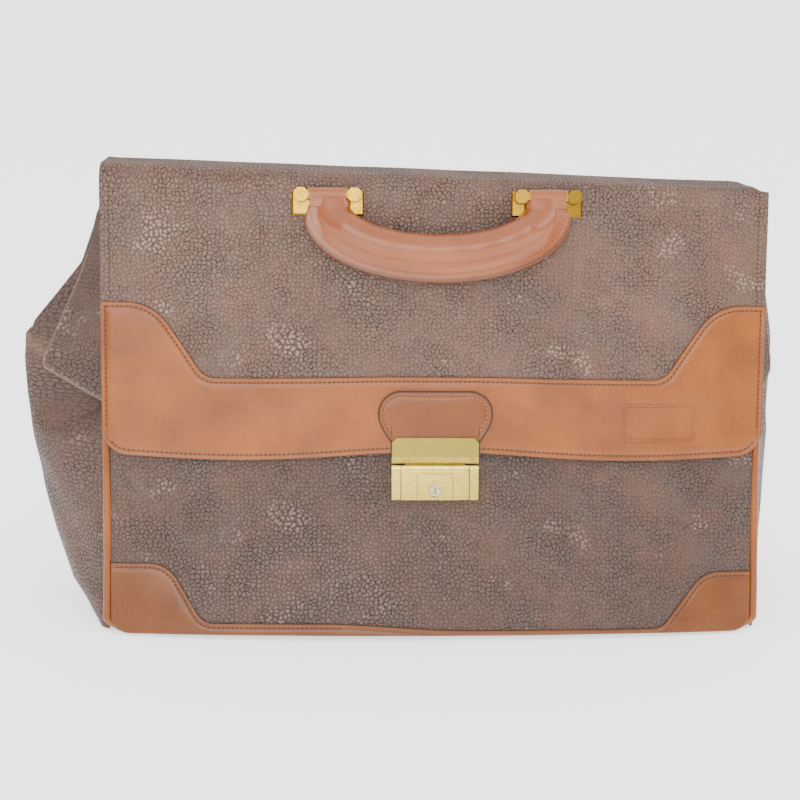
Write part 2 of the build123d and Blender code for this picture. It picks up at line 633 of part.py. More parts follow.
# ---------------------------------------------------------------- assembly
def build():
    parts = {}
    # base and gussets
    parts["base_leather"] = base_layer(0, LEATHER, 0)
    parts["base_board"] = base_layer(LEATHER, LEATHER + BOARD, 0)
    parts["base_lining"] = base_layer(LEATHER + BOARD, LEATHER + BOARD + LINING, 1.0)
    parts["gusset_left"] = gusset(-1, LEFT_BULGE)
    parts["gusset_right"] = gusset(1, RIGHT_BULGE)

    # panels
    leather, board, lining = panel_layers()
    trim = base_trim()
    parts["back_panel"] = back_of(leather)
    parts["back_board"] = back_of(board)
    parts["back_lining"] = back_of(lining)
    parts["back_base_trim"] = back_of(trim)
    low = LOCK_TOP - LOCK_HEIGHT
    lock_spots = [(x, up) for x in (-20, 20) for up in (low + 4, LOCK_TOP - TONGUE_DEPTH - 4)]
    parts["front_panel"] = pierced(leather, PANEL_PLANE, lock_spots)
    parts["front_board"] = pierced(board, PANEL_PLANE, lock_spots)
    parts["front_lining"] = pierced(lining, PANEL_PLANE, lock_spots)
    parts["front_base_trim"] = trim
    for side, name in ((-1, "left"), (1, "right")):
        bead = piping(side)
        parts[f"front_piping_{name}"] = bead
        parts[f"back_piping_{name}"] = back_of(bead)
    parts["flap_anchor"] = flap_anchor()

    # lock
    inner_face = -BOARD - LINING
    backing = slab(PANEL_PLANE, LOCK_WIDTH / 2 - 2, low + 1, LOCK_TOP - 5, inner_face - BACKING, inner_face)
    parts["lock_backing"] = pierced(backing, PANEL_PLANE, lock_spots)
    parts["lock_case"] = pierced(lock_case(), PANEL_PLANE, lock_spots)
    parts["lock_rivets"] = rivets(
        PANEL_PLANE, lock_spots, inner_face - BACKING, LOCK_BASE + CASE_FLOOR, True
    )
    parts["lock_springs"] = lock_springs()
    parts["lock_slide"] = lock_slide()
    parts["index_pins"] = index_pins()
    parts["key_cylinder"] = key_cylinder()
    parts["lock_cam"] = lock_cam()

    # mouth frame
    inner_x = FRAME_HALF_WIDTH - STRIP_THICKNESS - ARM_GAP
    parts["front_frame"] = on_front_bar(frame_half(FRAME_HALF_WIDTH))
    parts["front_welt"] = on_front_bar(welt(FRAME_HALF_WIDTH))
    parts["hinge_rivets_outer"] = on_front_bar(rivet_halves(FRAME_HALF_WIDTH, True))
    parts["back_frame"] = back_of(on_front_bar(frame_half(inner_x)))
    parts["back_welt"] = back_of(on_front_bar(welt(inner_x)))
    parts["hinge_rivets_inner"] = back_of(on_front_bar(rivet_halves(inner_x, False)))

    # flap
    hasp_spots = [(-18, 4.0), (18, 4.0)]
    bracket_spots = bracket_rivet_spots(-1) + bracket_rivet_spots(1)
    spots = hasp_spots + bracket_spots
    parts["flap_panel"] = pierced(flap_layer(0, LEATHER), FLAP_PLANE, spots)
    parts["flap_lining"] = pierced(flap_layer(-FLAP_LINING, 0), FLAP_PLANE, spots)
    parts["flap_band"] = pierced(flap_band(), FLAP_PLANE, hasp_spots)
    parts["lock_tab"] = pierced(lock_tab(), FLAP_PLANE, hasp_spots)
    parts["hasp"] = hasp()
    lining_face = -FLAP_LINING
    hasp_backing = slab(FLAP_PLANE, LOCK_WIDTH / 2 - 4, 1, 8, lining_face - BACKING, lining_face)
    parts["hasp_backing"] = pierced(hasp_backing, FLAP_PLANE, hasp_spots)
    parts["hasp_rivets"] = rivets(FLAP_PLANE, hasp_spots, lining_face - BACKING, TAB_FACE, True)

    # brackets and handle
    core = handle_core()
    for side, name in ((-1, "left"), (1, "right")):
        side_spots = bracket_rivet_spots(side)
        x = bracket_centre(side)
        parts[f"bracket_{name}"] = pierced(bracket(side), FLAP_PLANE, side_spots)
        low, high = PLATE_CENTRE - 8, PLATE_CENTRE + 4
        plate = slab(FLAP_PLANE, PLATE_WIDTH / 2, low, high, lining_face - BACKING, lining_face)
        parts[f"bracket_backing_{name}"] = pierced(Pos(x, 0, 0) * plate, FLAP_PLANE, side_spots)
        parts[f"handle_pin_{name}"] = pin(side)
        parts[f"handle_loop_{name}"] = handle_loop(side)
    parts["bracket_rivets"] = rivets(
        FLAP_PLANE, bracket_spots, lining_face - BACKING, LEATHER + PLATE_THICKNESS, False
    )
    parts["pivot_washers"] = washers()
    parts["handle_core"] = core
    parts["handle_cover"] = handle_cover(core)
    return parts


def main():
    os.makedirs("parts", exist_ok=True)
    for name, shape in build().items():
        export_step(shape, f"parts/{name}.step")
    print(f"lean {LEAN:.3f}  slope {SLOPE:.3f}  flap lean {FLAP_LEAN:.3f}  arm angle {ARM_ANGLE:.3f}")
    pivot = point_on(FLAP_PLANE, PIVOT_UP, PIVOT_OUT)
    key = point_on(PANEL_PLANE, KEY_UP, LOCK_FACE)
    print(f"handle pivot y {pivot[0]:.4f} z {pivot[1]:.4f}  key y {key[0]:.4f} z {key[1]:.4f}")


main()
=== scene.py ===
# %% [markdown]
# # A doctor bag in grained leather
# The solids of the bag come packed as a fixed frame: every rivet, hinge and plate already has its
# true size and place. This script gives the bag its looks. Soft leather is rebuilt as thick,
# slightly sagging sheets that follow the same planes as the solids, hard parts keep their solids
# and get metal finishes, and the new pieces other than the gussets and the springs' copy are tied
# to the body they move with.

# %% Load the fixed frame
import math
import bpy
import numpy as np
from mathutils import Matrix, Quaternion, Vector, noise


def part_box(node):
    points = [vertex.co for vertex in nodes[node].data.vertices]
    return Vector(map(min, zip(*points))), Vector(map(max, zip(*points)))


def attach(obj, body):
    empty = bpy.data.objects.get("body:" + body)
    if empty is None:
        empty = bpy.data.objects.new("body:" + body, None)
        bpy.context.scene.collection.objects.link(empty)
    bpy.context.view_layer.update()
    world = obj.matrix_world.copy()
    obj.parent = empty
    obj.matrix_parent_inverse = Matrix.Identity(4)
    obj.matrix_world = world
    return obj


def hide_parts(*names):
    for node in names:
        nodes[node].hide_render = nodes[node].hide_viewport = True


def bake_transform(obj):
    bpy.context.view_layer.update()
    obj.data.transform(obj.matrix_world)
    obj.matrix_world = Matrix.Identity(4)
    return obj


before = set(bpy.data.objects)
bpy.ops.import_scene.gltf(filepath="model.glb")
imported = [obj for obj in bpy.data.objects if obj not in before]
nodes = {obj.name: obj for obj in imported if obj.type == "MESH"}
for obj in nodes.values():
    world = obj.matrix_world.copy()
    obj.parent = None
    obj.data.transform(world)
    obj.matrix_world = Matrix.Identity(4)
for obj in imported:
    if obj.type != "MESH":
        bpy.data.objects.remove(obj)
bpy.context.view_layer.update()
MM = 0.001

# %% [markdown]
# ## Small tools for materials
# Colours are written as the hex values a maker would pick from a swatch, so one function turns
# them into the linear numbers that the renderer works in. Another adds a shader node with its
# settings and its inputs in one line. The short ones after it name the steps that every recipe
# takes: a place in millimetres, a cloudy noise, a ramp from one value to another, a calculation,
# a mix of two colours and a bump. Each recipe can then be read from top to bottom.

# %% Colour and node helpers
def linear(hex_colour):
    channels = [int(hex_colour[i:i + 2], 16) / 255 for i in (1, 3, 5)]
    return [c / 12.92 if c <= 0.04045 else ((c + 0.055) / 1.055) ** 2.4 for c in channels] + [1.0]


def fill(tree, node, inputs):
    """Gives a node its inputs: a socket is linked, anything else is set as a value."""
    for key, value in dict(inputs).items():
        if isinstance(value, bpy.types.NodeSocket):
            tree.links.new(value, node.inputs[key])
        else:
            node.inputs[key].default_value = value
    return node


def add(tree, kind, inputs=(), **settings):
    node = tree.nodes.new("ShaderNode" + kind)
    for key, value in settings.items():
        setattr(node, key, value)
    return fill(tree, node, inputs)


def new_material(name):
    material = bpy.data.materials.new(name)
    material.use_nodes = True
    tree = material.node_tree
    return material, tree, tree.nodes["Principled BSDF"]


def scaled(tree, vector, factor):
    return add(tree, "VectorMath", {0: vector, "Scale": factor}, operation="SCALE").outputs[0]


def in_millimetres(tree, uv=False):
    """The place on a piece: along the flat sheet, or in the piece's own space."""
    return scaled(tree, add(tree, "TexCoord").outputs["UV" if uv else "Object"], 1000.0)


def cloudy(tree, place, per_mm, detail, **inputs):
    inputs.update({"Vector": place, "Scale": per_mm, "Detail": detail})
    return add(tree, "TexNoise", inputs).outputs["Fac"]


def ramp(tree, value, start, end, low=0.0, high=1.0, curve="LINEAR"):
    inputs = {0: value, 1: start, 2: end, 3: low, 4: high}
    return add(tree, "MapRange", inputs, interpolation_type=curve).outputs[0]


def calculate(tree, operation, *values):
    return add(tree, "Math", dict(enumerate(values)), operation=operation).outputs[0]


def mixed(tree, share, first, second):
    return add(tree, "Mix", {"Factor": share, 6: first, 7: second}, data_type="RGBA").outputs[2]


def bumps(tree, height, strength, depth_mm):
    inputs = {"Height": height, "Strength": strength, "Distance": depth_mm * MM}
    return add(tree, "Bump", inputs).outputs[0]


print("linear mid grey:", [round(c, 3) for c in linear("#808080")])

# %% [markdown]
# ## Grained leather
# The body of the bag is cowhide that was drum-dyed a grey brown and printed with a pebble grain.
# Each pebble is about 2.8 mm across, with a dark crease round it. A cell pattern whose distance to
# the cell edge is known gives both: the distance makes the bump, and the same distance mixes the
# crease colour with the colour of the top. The cells are pushed about by a soft noise, so that
# they aren't regular, and a second noise breaks the creases up. Large pale and dark blotches come
# from handling. In patches the middles of the pebbles are painted paler, a painted glint where a
# pebble top would catch the light. Leather has an IOR of about 1.5, and the wax on the tops is
# smoother than the creases.

# %% Grained leather material
PEBBLE_MM = 2.8
LEATHER_IOR, LEATHER_SPECULAR = 1.5, 0.4
SOFT = "SMOOTHSTEP"


def grained_leather(name, pit, brown, slate, painted_glint, uv=True):
    material, tree, surface = new_material(name)
    in_mm = in_millimetres(tree, uv)
    wobble = add(tree, "TexNoise", {"Vector": in_mm, "Scale": 0.42, "Detail": 2.0}).outputs["Color"]
    centred = add(tree, "VectorMath", {0: wobble, 1: (0.5, 0.5, 0.5)}, operation="SUBTRACT").outputs[0]
    push = scaled(tree, centred, 1.6)
    pushed = add(tree, "VectorMath", {0: in_mm, 1: push}, operation="ADD").outputs[0]
    pebbles = {"Vector": pushed, "Scale": 1 / PEBBLE_MM, "Randomness": 0.9}
    cells = "2D" if uv else "3D"
    walls = add(tree, "TexVoronoi", pebbles, feature="DISTANCE_TO_EDGE", voronoi_dimensions=cells)
    centres = add(tree, "TexVoronoi", pebbles, feature="F1", voronoi_dimensions=cells)
    dome = ramp(tree, walls.outputs["Distance"], 0.0, 0.34, curve=SOFT)
    line = ramp(tree, walls.outputs["Distance"], 0.02, 0.27, 1.0, 0.0, SOFT)
    middle = ramp(tree, centres.outputs["Distance"], 0.16, 0.44, 1.0, 0.0, SOFT)
    cell_tone = ramp(tree, centres.outputs["Color"], 0.0, 1.0, 0.93, 1.07)

    broken = ramp(tree, cloudy(tree, in_mm, 0.62, 2.0), 0.43, 0.57, 0.3, 1.0)
    depth = ramp(tree, cloudy(tree, in_mm, 0.028, 3.0, Roughness=0.6), 0.36, 0.6, 0.35, 0.95)
    glint_patches = ramp(tree, cloudy(tree, in_mm, 0.024, 4.0, Roughness=0.65), 0.52, 0.64)
    wear = ramp(tree, cloudy(tree, in_mm, 0.016, 5.0, Roughness=0.6), 0.32, 0.68, 0.86, 1.14)
    hue = ramp(tree, cloudy(tree, in_mm, 0.03, 5.0, Distortion=0.6), 0.36, 0.64)
    rubbed = ramp(tree, cloudy(tree, in_mm, 0.16, 3.0), 0.3, 0.7, 0.92, 1.08)

    dyed = scaled(tree, mixed(tree, hue, linear(brown), linear(slate)), cell_tone)
    creases = calculate(tree, "MULTIPLY", line, broken)
    creased = mixed(tree, calculate(tree, "MULTIPLY", creases, depth), dyed, linear(pit))
    shaded = scaled(tree, creased, calculate(tree, "MULTIPLY", wear, rubbed))
    # painted glint: in patches the middles of the pebbles are mixed towards a paler colour, a painted
    # highlight of the light they would catch
    shine = calculate(tree, "MULTIPLY", middle, ramp(tree, glint_patches, 0.5, 1.0, 0.0, 0.6))
    polished = mixed(tree, shine, shaded, linear(painted_glint))
    # the attribute read here marks folds and ridges of the gussets, which are mixed towards a paler colour:
    # partly wear, partly a painted highlight on the fold edges
    wear_and_highlight = add(tree, "Attribute", attribute_name="wear_and_highlight").outputs["Fac"]
    colour = mixed(tree, wear_and_highlight, polished, linear("#92745f"))

    fine = calculate(tree, "MULTIPLY", cloudy(tree, in_mm, 2.2, 3.0), 0.25)
    relief = calculate(tree, "ADD", dome, fine)
    bump = bumps(tree, calculate(tree, "MULTIPLY", relief, depth), 0.6, 0.5)
    rough = ramp(tree, dome, 0.0, 1.0, 0.75, 0.33)
    fill(tree, surface, {"Base Color": colour, "Roughness": rough, "Normal": bump,
                         "IOR": LEATHER_IOR, "Specular IOR Level": LEATHER_SPECULAR})
    return material


# Each set of dyes is crease, brown, slate and the paler colour of the painted glints on the pebble tops.
GRAIN_DYES = ("#1d120e", "#694b3d", "#624c42", "#a0877a")
# Painted shade: the panels and the gusset sides take darker copies of the same leather, standing for the
# shade that the flap and the bag's shape cast on them.
PANEL_SHADED_DYES = ("#170e0b", "#573d32", "#503f37", "#86726a")
SIDE_SHADED_DYES = ("#1b110d", "#593f34", "#513f37", "#8a756b")
GRAIN = grained_leather("pebble_grained_cowhide", *GRAIN_DYES)
GRAIN_PANEL_SHADED = grained_leather("pebble_grained_cowhide_panels_painted_shade", *PANEL_SHADED_DYES)
GRAIN_SIDE_SHADED = grained_leather("pebble_grained_cowhide_sides_painted_shade", *SIDE_SHADED_DYES)
GRAIN_SOLID = grained_leather("pebble_grained_cowhide_on_solids", *GRAIN_DYES, uv=False)
print("made", GRAIN.name)

# %% [markdown]
# ## Smooth tan leather
# The trim, the handle and the piping are vegetable-tanned calf, dyed tan, waxed and polished. Up
# close it has fine pores, faint wrinkles and soft clouds of darker dye, and a clear wax shine. A
# thin coat over the dyed leather gives that shine. The cut edges are sealed with dark edge paint,
# and the dye is a little darker within a millimetre or two of an edge, where it is burnished: each
# sheet carries its distance to the nearest edge as an attribute called rim. The row of stitches
# lies SEAM_MM inside the edge and presses a darker line into the leather.

# %% Tan leather, edge paint and thread
SEAM_MM = 3.1


def tan_leather(name, dark, light, uv=True, roughness=0.36, coat=0.15):
    material, tree, surface = new_material(name)
    in_mm = in_millimetres(tree, uv)
    mottle = cloudy(tree, in_mm, 0.5, 3.0)
    large = calculate(tree, "MULTIPLY", cloudy(tree, in_mm, 0.02, 5.0, Roughness=0.55), 0.75)
    small = calculate(tree, "MULTIPLY", mottle, 0.25)
    spread = ramp(tree, calculate(tree, "ADD", large, small), 0.36, 0.62)
    colour = mixed(tree, spread, linear(dark), linear(light))
    if uv:
        rim = add(tree, "Attribute", attribute_name="rim").outputs["Fac"]
        burnish = ramp(tree, rim, 0.1, 1.0, 0.5, 1.0, SOFT)
        from_seam = calculate(tree, "ABSOLUTE", calculate(tree, "SUBTRACT", rim, SEAM_MM))
        holes = ramp(tree, from_seam, 0.25, 0.75, 0.72, 1.0, SOFT)
        colour = scaled(tree, colour, calculate(tree, "MULTIPLY", burnish, holes))
    pores = calculate(tree, "MULTIPLY", cloudy(tree, in_mm, 1.6, 4.0, Roughness=0.65), 0.35)
    folds = cloudy(tree, in_mm, 0.11, 4.0, Distortion=1.2)
    bump = bumps(tree, calculate(tree, "ADD", folds, pores), 0.3, 0.6)
    rough = ramp(tree, mottle, 0.3, 0.7, roughness - 0.05, roughness + 0.09)
    fill(tree, surface, {"Base Color": colour, "Roughness": rough, "Normal": bump,
                         "IOR": LEATHER_IOR, "Specular IOR Level": LEATHER_SPECULAR,
                         "Coat Weight": coat, "Coat Roughness": 0.18})
    return material


def speckled(name, dark, light, scale_per_mm, roughness, bump_mm=0.05):
    """A plain dyed surface with a small grain: edge paint, waxed thread or pressed board."""
    material, tree, surface = new_material(name)
    grain = cloudy(tree, in_millimetres(tree), scale_per_mm, 4.0)
    colour = mixed(tree, ramp(tree, grain, 0.3, 0.7), linear(dark), linear(light))
    bump = bumps(tree, grain, 0.5, bump_mm)
    fill(tree, surface, {"Base Color": colour, "Roughness": roughness, "Normal": bump})
    return material


TAN_DYES = ("#753b0c", "#955013")
HANDLE_DYES = ("#84421d", "#955228")
TAN = tan_leather("waxed_tan_calf", *TAN_DYES)
# Painted shade: the foot trim takes a darker copy of the tan, shade painted in low on the bag.
TAN_SHADED = tan_leather("waxed_tan_calf_foot_trim_painted_shade", "#60300a", "#753f10")
TAN_TAB = tan_leather("waxed_tan_calf_on_the_tab", "#6e360a", "#804410")
TAN_ROLL = tan_leather("polished_tan_calf_on_the_handle", *HANDLE_DYES, roughness=0.3, coat=0.3)
TAN_SOLID = tan_leather("waxed_tan_calf_on_solids", *HANDLE_DYES, uv=False, roughness=0.32)
EDGE = speckled("edge_paint", "#24120c", "#3a1f14", 1.5, 0.45)
RAW_EDGE = speckled("dark_dyed_leather_edge", "#2e211c", "#4a3730", 1.5, 0.6)
THREAD = speckled("waxed_brown_thread", "#3c2112", "#6b4126", 3.0, 0.5)
PALE_THREAD = speckled("waxed_tan_thread", "#8a5028", "#bd7f4e", 3.0, 0.5)
DARK_THREAD = speckled("dark_waxed_thread", "#2f2019", "#54402f", 3.0, 0.5)
BOARD = speckled("pressed_leatherboard", "#5e4c3b", "#85705a", 0.8, 0.85, 0.2)
print("made", TAN.name, EDGE.name, THREAD.name)

# %% [markdown]
# ## Woven lining
# The inside is lined with plain cotton. Its threads lie about 0.5 mm apart, which is finer than a
# view of the whole bag can show, so the weave is drawn at 0.9 mm. Two wave patterns at right
# angles give the warp and the weft, and where they cross high the cloth stands up and is painted
# paler, a painted highlight on the raised threads.

# %% Cotton lining material
def cotton(name, dark, light):
    material, tree, surface = new_material(name)
    in_mm = in_millimetres(tree)
    threads = {"Vector": in_mm, "Scale": 0.35, "Distortion": 0.3}
    warp, weft = (add(tree, "TexWave", threads, bands_direction=way).outputs["Fac"] for way in "XZ")
    weave = calculate(tree, "MULTIPLY", warp, weft)
    uneven = calculate(tree, "ADD", weave, cloudy(tree, in_mm, 0.06, 4.0))
    # painted highlight: the raised crossings of the weave are mixed towards the paler colour
    colour = mixed(tree, ramp(tree, uneven, 0.3, 1.3), linear(dark), linear(light))
    bump = bumps(tree, weave, 0.5, 0.2)
    fill(tree, surface, {"Base Color": colour, "Roughness": 0.85, "Normal": bump, "Sheen Weight": 0.3})
    return material


LINING = cotton("plain_cotton_lining", "#6f5842", "#a98d6c")
print("made", LINING.name)

# %% [markdown]
# ## Brass and steel
# The lock and the handle plates are brass that was polished and has since dulled: high spots stay
# bright and pale, and a thin olive brown film sits in patches. Brass is a metal, so its colour is
# the colour of its reflection and its IOR stays at the default. The film is drawn by a blotchy
# noise that mixes two brass colours and raises the roughness, with fine scratches over it. Grime
# gathers in the hollows, and the edges are painted bright: partly where hands rub them, partly a
# painted highlight where an edge would catch the light. So the openness of each spot is measured
# over a millimetre or two, once outwards for the grime and once inwards for the bright edges. The
# mouth frame is nickel-plated steel strip, brushed lengthwise.

# %% Metal materials
def worn_metal(name, bright, film, crevice, roughness, film_amount):
    material, tree, surface = new_material(name)
    in_mm = in_millimetres(tree)
    patches = cloudy(tree, in_mm, 0.25, 6.0, Roughness=0.7)
    low = 0.62 - film_amount * 0.3
    share = ramp(tree, patches, low, low + 0.22)
    filmed = mixed(tree, share, linear(bright), linear(film))
    hollow = add(tree, "AmbientOcclusion", {"Distance": 1.8 * MM}, samples=8).outputs["AO"]
    grime = ramp(tree, hollow, 0.45, 0.92, 0.85, 0.0)
    dirty = mixed(tree, grime, filmed, linear(crevice))
    # edges are mixed back to bright brass: partly rubbed wear, partly a painted highlight where an edge would
    # catch the light
    edge_wear_and_highlight = add(tree, "AmbientOcclusion", {"Distance": 0.7 * MM}, samples=8, inside=True).outputs["AO"]
    rubbed = ramp(tree, edge_wear_and_highlight, 0.5, 0.85, 0.9, 0.0)
    colour = mixed(tree, rubbed, dirty, linear(bright))
    rough = ramp(tree, share, 0.0, 1.0, roughness, roughness + 0.12)
    smoother = add(tree, "Mix", {0: rubbed, 2: rough, 3: 0.12}, data_type="FLOAT").outputs[0]
    along = add(tree, "Mapping", {"Vector": in_mm, "Scale": (0.25, 3.0, 3.0)}).outputs[0]
    bump = bumps(tree, cloudy(tree, along, 1.0, 4.0), 0.25, 0.1)
    fill(tree, surface, {"Base Color": colour, "Roughness": smoother, "Normal": bump, "Metallic": 1.0})
    return material


BRASS = worn_metal("aged_polished_brass", "#f4d66a", "#c9a63f", "#6b5418", 0.17, 0.35)
BRASS_PLATE = worn_metal("aged_olive_brass", "#b3a04c", "#9a863a", "#5b4a18", 0.22, 0.5)
BRASS_BRIGHT = worn_metal("polished_key_brass", "#fff0c4", "#ecd48a", "#8a6f2c", 0.1, 0.2)
BRASS_DULL = worn_metal("aged_dull_brass", "#b89a48", "#7d6430", "#40330f", 0.3, 0.8)
BRASS_BRACKET = worn_metal("aged_bracket_brass", "#b38a2a", "#8b661c", "#4a330b", 0.16, 0.45)
STEEL = worn_metal("nickel_plated_steel", "#c4c0b8", "#8d887e", "#4a463f", 0.3, 0.4)
DARK_STEEL = worn_metal("blued_steel", "#6a675f", "#4a4741", "#22201d", 0.4, 0.5)
print("made", BRASS.name, STEEL.name)

# %% [markdown]
# ## Where things are
# The panels lean inwards on both sides of the base, and the flap comes up from a strip at the
# back, over the mouth and down the front. Each of these surfaces gets a small function that turns
# flat coordinates into a place on the bag: x across, a height or length along the leather, and how
# far out from the surface. A pattern drawn flat, as a leather worker cuts it, can then be laid on
# the bag, and everything sewn to it follows the same bends. Sizes are in millimetres, and for the
# ones that the solids can confirm, the solid's size is printed next to them.

# %% Sizes and the two leaning planes
HALF_WIDTH, FLAP_HALF = 209.0, 213.0
FOLD = np.array([-73.5, 3.0])
BAR = np.array([-10.0, 276.0])
LEATHER, TRIM_T, TAB_T = 1.6, 1.2, 1.4
PANEL_UP = (BAR - FOLD) / np.linalg.norm(BAR - FOLD)
PANEL_OUT = np.array([-PANEL_UP[1], PANEL_UP[0]])
SLOPE = float(np.linalg.norm(BAR - FOLD))
FLAP_FOOT = FOLD + PANEL_UP * 115.0 + PANEL_OUT * 5.5
FLAP_TOP, FLAP_FOLD_Y, SEAM = 292.0, -21.0, np.array([18.5, 287.0])
FLAP_UP = np.array([FLAP_FOLD_Y, FLAP_TOP]) - FLAP_FOOT
FLAP_LINE = float(np.linalg.norm(FLAP_UP))
FLAP_UP = FLAP_UP / FLAP_LINE
FLAP_OUT = np.array([-FLAP_UP[1], FLAP_UP[0]])
low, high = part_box("flap_panel")
print("flap solid x", round(low.x, 4), round(high.x, 4))
print("flap top z", round(high.z, 4), "want", (FLAP_TOP + LEATHER) * MM)


def smooth(a, b, value):
    t = np.clip((np.asarray(value, float) - a) / (b - a), 0, 1)
    return t * t * (3 - 2 * t)


def ripple(x, s, wavelength, seed):
    """Slow, shallow waves such as a hide takes: one repeatable number per point, about -1 to 1."""
    out = np.empty(np.broadcast(x, s).shape)
    xs, ss = np.broadcast_to(x, out.shape), np.broadcast_to(s, out.shape)
    for index in np.ndindex(out.shape):
        out[index] = noise.noise(Vector((xs[index] / wavelength, ss[index] / wavelength, seed)))
    return out


# %% [markdown]
# ## The flap's run
# Seen from the side, the flap is a straight front sheet, a soft fold, a short top, a tighter fold
# and a hem at the back. The run is measured along the leather from the lower front edge. On a used
# bag the top isn't level: it stands a little proud on one side and has settled on the other, and
# the lower edge hangs a few millimetres lower between the lock and the corners, where nothing
# holds it. Those are added to the run, and they fade out round the metal parts, which lie flat.

# %% Flap surface
FRONT_RADIUS, BACK_RADIUS = 9.0, 4.5
turn = math.pi / 2 - math.atan2(FLAP_UP[0], FLAP_UP[1])
FRONT_TANGENT = FRONT_RADIUS * math.tan(turn / 2)
RUN_1 = FLAP_LINE - FRONT_TANGENT
RUN_2 = RUN_1 + FRONT_RADIUS * turn
RUN_3 = RUN_2 + (SEAM[0] - BACK_RADIUS) - (FLAP_FOLD_Y + FRONT_TANGENT)
RUN_4 = RUN_3 + BACK_RADIUS * math.pi / 2
RUN_END = RUN_4 + (FLAP_TOP - BACK_RADIUS - SEAM[1])
FOLD_CENTRE = FLAP_FOOT + FLAP_UP * RUN_1 - FLAP_OUT * FRONT_RADIUS
BACK_CENTRE = np.array([SEAM[0] - BACK_RADIUS, FLAP_TOP - BACK_RADIUS])


def flap_profile(s):
    s = np.asarray(s, float)
    y, z = FLAP_FOOT[0] + FLAP_UP[0] * s, FLAP_FOOT[1] + FLAP_UP[1] * s
    ny, nz = np.full_like(s, FLAP_OUT[0]), np.full_like(s, FLAP_OUT[1])
    start = math.atan2(FLAP_OUT[1], FLAP_OUT[0])
    a = start - np.clip((s - RUN_1) / FRONT_RADIUS, 0, turn)
    m = s > RUN_1
    y = np.where(m, FOLD_CENTRE[0] + FRONT_RADIUS * np.cos(a), y)
    z = np.where(m, FOLD_CENTRE[1] + FRONT_RADIUS * np.sin(a), z)
    ny, nz = np.where(m, np.cos(a), ny), np.where(m, np.sin(a), nz)
    m = s > RUN_2
    y = np.where(m, FLAP_FOLD_Y + FRONT_TANGENT + (s - RUN_2), y)
    z, ny, nz = np.where(m, FLAP_TOP, z), np.where(m, 0.0, ny), np.where(m, 1.0, nz)
    m = s > RUN_3
    b = math.pi / 2 - np.clip((s - RUN_3) / BACK_RADIUS, 0, math.pi / 2)
    y = np.where(m, BACK_CENTRE[0] + BACK_RADIUS * np.cos(b), y)
    z = np.where(m, BACK_CENTRE[1] + BACK_RADIUS * np.sin(b), z)
    ny, nz = np.where(m, np.cos(b), ny), np.where(m, np.sin(b), nz)
    z = np.where(s > RUN_4, BACK_CENTRE[1] - (s - RUN_4), z)
    return y, z, ny, nz


def calm(x, s):
    """0 where metal lies on the flap, 1 well away from it."""
    away = 1.0
    for cx, cs, rx, rs in ((-69.5, 160, 34, 22), (69.5, 160, 34, 22), (0, 14, 58, 40)):
        d = np.sqrt(((x - cx) / rx) ** 2 + ((s - cs) / rs) ** 2)
        away = away * smooth(0.75, 1.5, d)
    return away


def seam_drop(x):
    """The hem at the back sinks a little where the top has settled."""
    x = np.asarray(x, float)
    return -3.5 - 4.5 * x / FLAP_HALF - 3.5 * smooth(196, 213, x)


def flap_at(x, s, n):
    x, s, n = np.broadcast_arrays(np.asarray(x, float), np.asarray(s, float), np.asarray(n, float))
    y, z, ny, nz = flap_profile(s)
    free = calm(x, s)
    side = np.abs(x) / FLAP_HALF
    wave = 0.75 * ripple(x, s, 70.0, 3.1) + 0.35 * ripple(x, s, 26.0, 8.4)
    belly = 1.6 * smooth(0, 60, s) * (1 - smooth(110, 165, s)) * (1 - side ** 4)
    n = n + free * (wave + belly) * (1 - smooth(RUN_2, RUN_3, s))
    droop = 4.6 * np.sin(math.pi * np.clip((np.abs(x) - 30) / 190, 0, 1)) ** 1.2
    droop = droop * (1 - smooth(4, 70, s))
    tilt = -3.2 - 6.0 * x / FLAP_HALF
    settle = (tilt + 0.6 * ripple(x, 0 * s, 60.0, 1.7)) * smooth(168, 184, s)
    settle = settle - 3.5 * smooth(198, 213, x) * smooth(160, 184, s)
    rear = smooth(RUN_3, RUN_END, s)
    settle = settle * (1 - rear) + rear * seam_drop(x)
    y = y + ny * n - FLAP_UP[0] * droop
    z = z + nz * n - FLAP_UP[1] * droop + settle
    return np.stack([x, y, z], axis=-1)


print("run of the flap:", [round(v, 1) for v in (RUN_1, RUN_2, RUN_3, RUN_4, RUN_END)])

# %% [markdown]
# ## The panels' surface
# Each panel is one straight leaning sheet that bows out a little in the middle, more towards its
# foot where the bag is full. The back panel is the same surface mirrored.

# %% Panel surfaces
def front_at(x, u, n):
    x, u, n = np.broadcast_arrays(np.asarray(x, float), np.asarray(u, float), np.asarray(n, float))
    side = np.clip(np.abs(x) / HALF_WIDTH, 0, 1)
    lock = np.sqrt((x / 48) ** 2 + ((u - 96) / 26) ** 2)
    bow = (9.5 * (1 - smooth(0, 62, u)) + 3.0 * (1 - smooth(40, 100, u))) * (1 - side ** 2.8)
    wave = (0.8 * ripple(x, u, 60.0, 5.7) + 0.3 * ripple(x, u, 22.0, 2.2)) * (1 - smooth(85, 112, u))
    n = n + (bow + wave * smooth(-2, 10, u)) * smooth(0.8, 1.6, lock)
    y = FOLD[0] + PANEL_UP[0] * u + PANEL_OUT[0] * n
    z = FOLD[1] + PANEL_UP[1] * u + PANEL_OUT[1] * n
    return np.stack([x, y, z], axis=-1)


def back_at(x, u, n):
    place = front_at(-np.asarray(x, float), u, n)
    return place * np.array([-1.0, -1.0, 1.0])


print("panel slope:", round(SLOPE, 1), "mm")

# %% [markdown]
# ## Cutting a sheet
# A leather piece is drawn flat as a row of columns. Each column runs from a lower border to an
# upper border, so curved and stepped outlines need no special case. Points gather near the borders,
# because that is where the shape is: the cut edge is rounded over, and the row of stitches pulls
# the leather down into a shallow groove. The sheet has a top, an underside and a rim of its own
# thickness, so it is a closed piece and not a skin.

# %% Sheet builder
BORDER = [0.0, 0.15, 0.45, 0.9, 1.5, 2.2, 2.8, 3.4, 4.2, 5.4, 7.0]


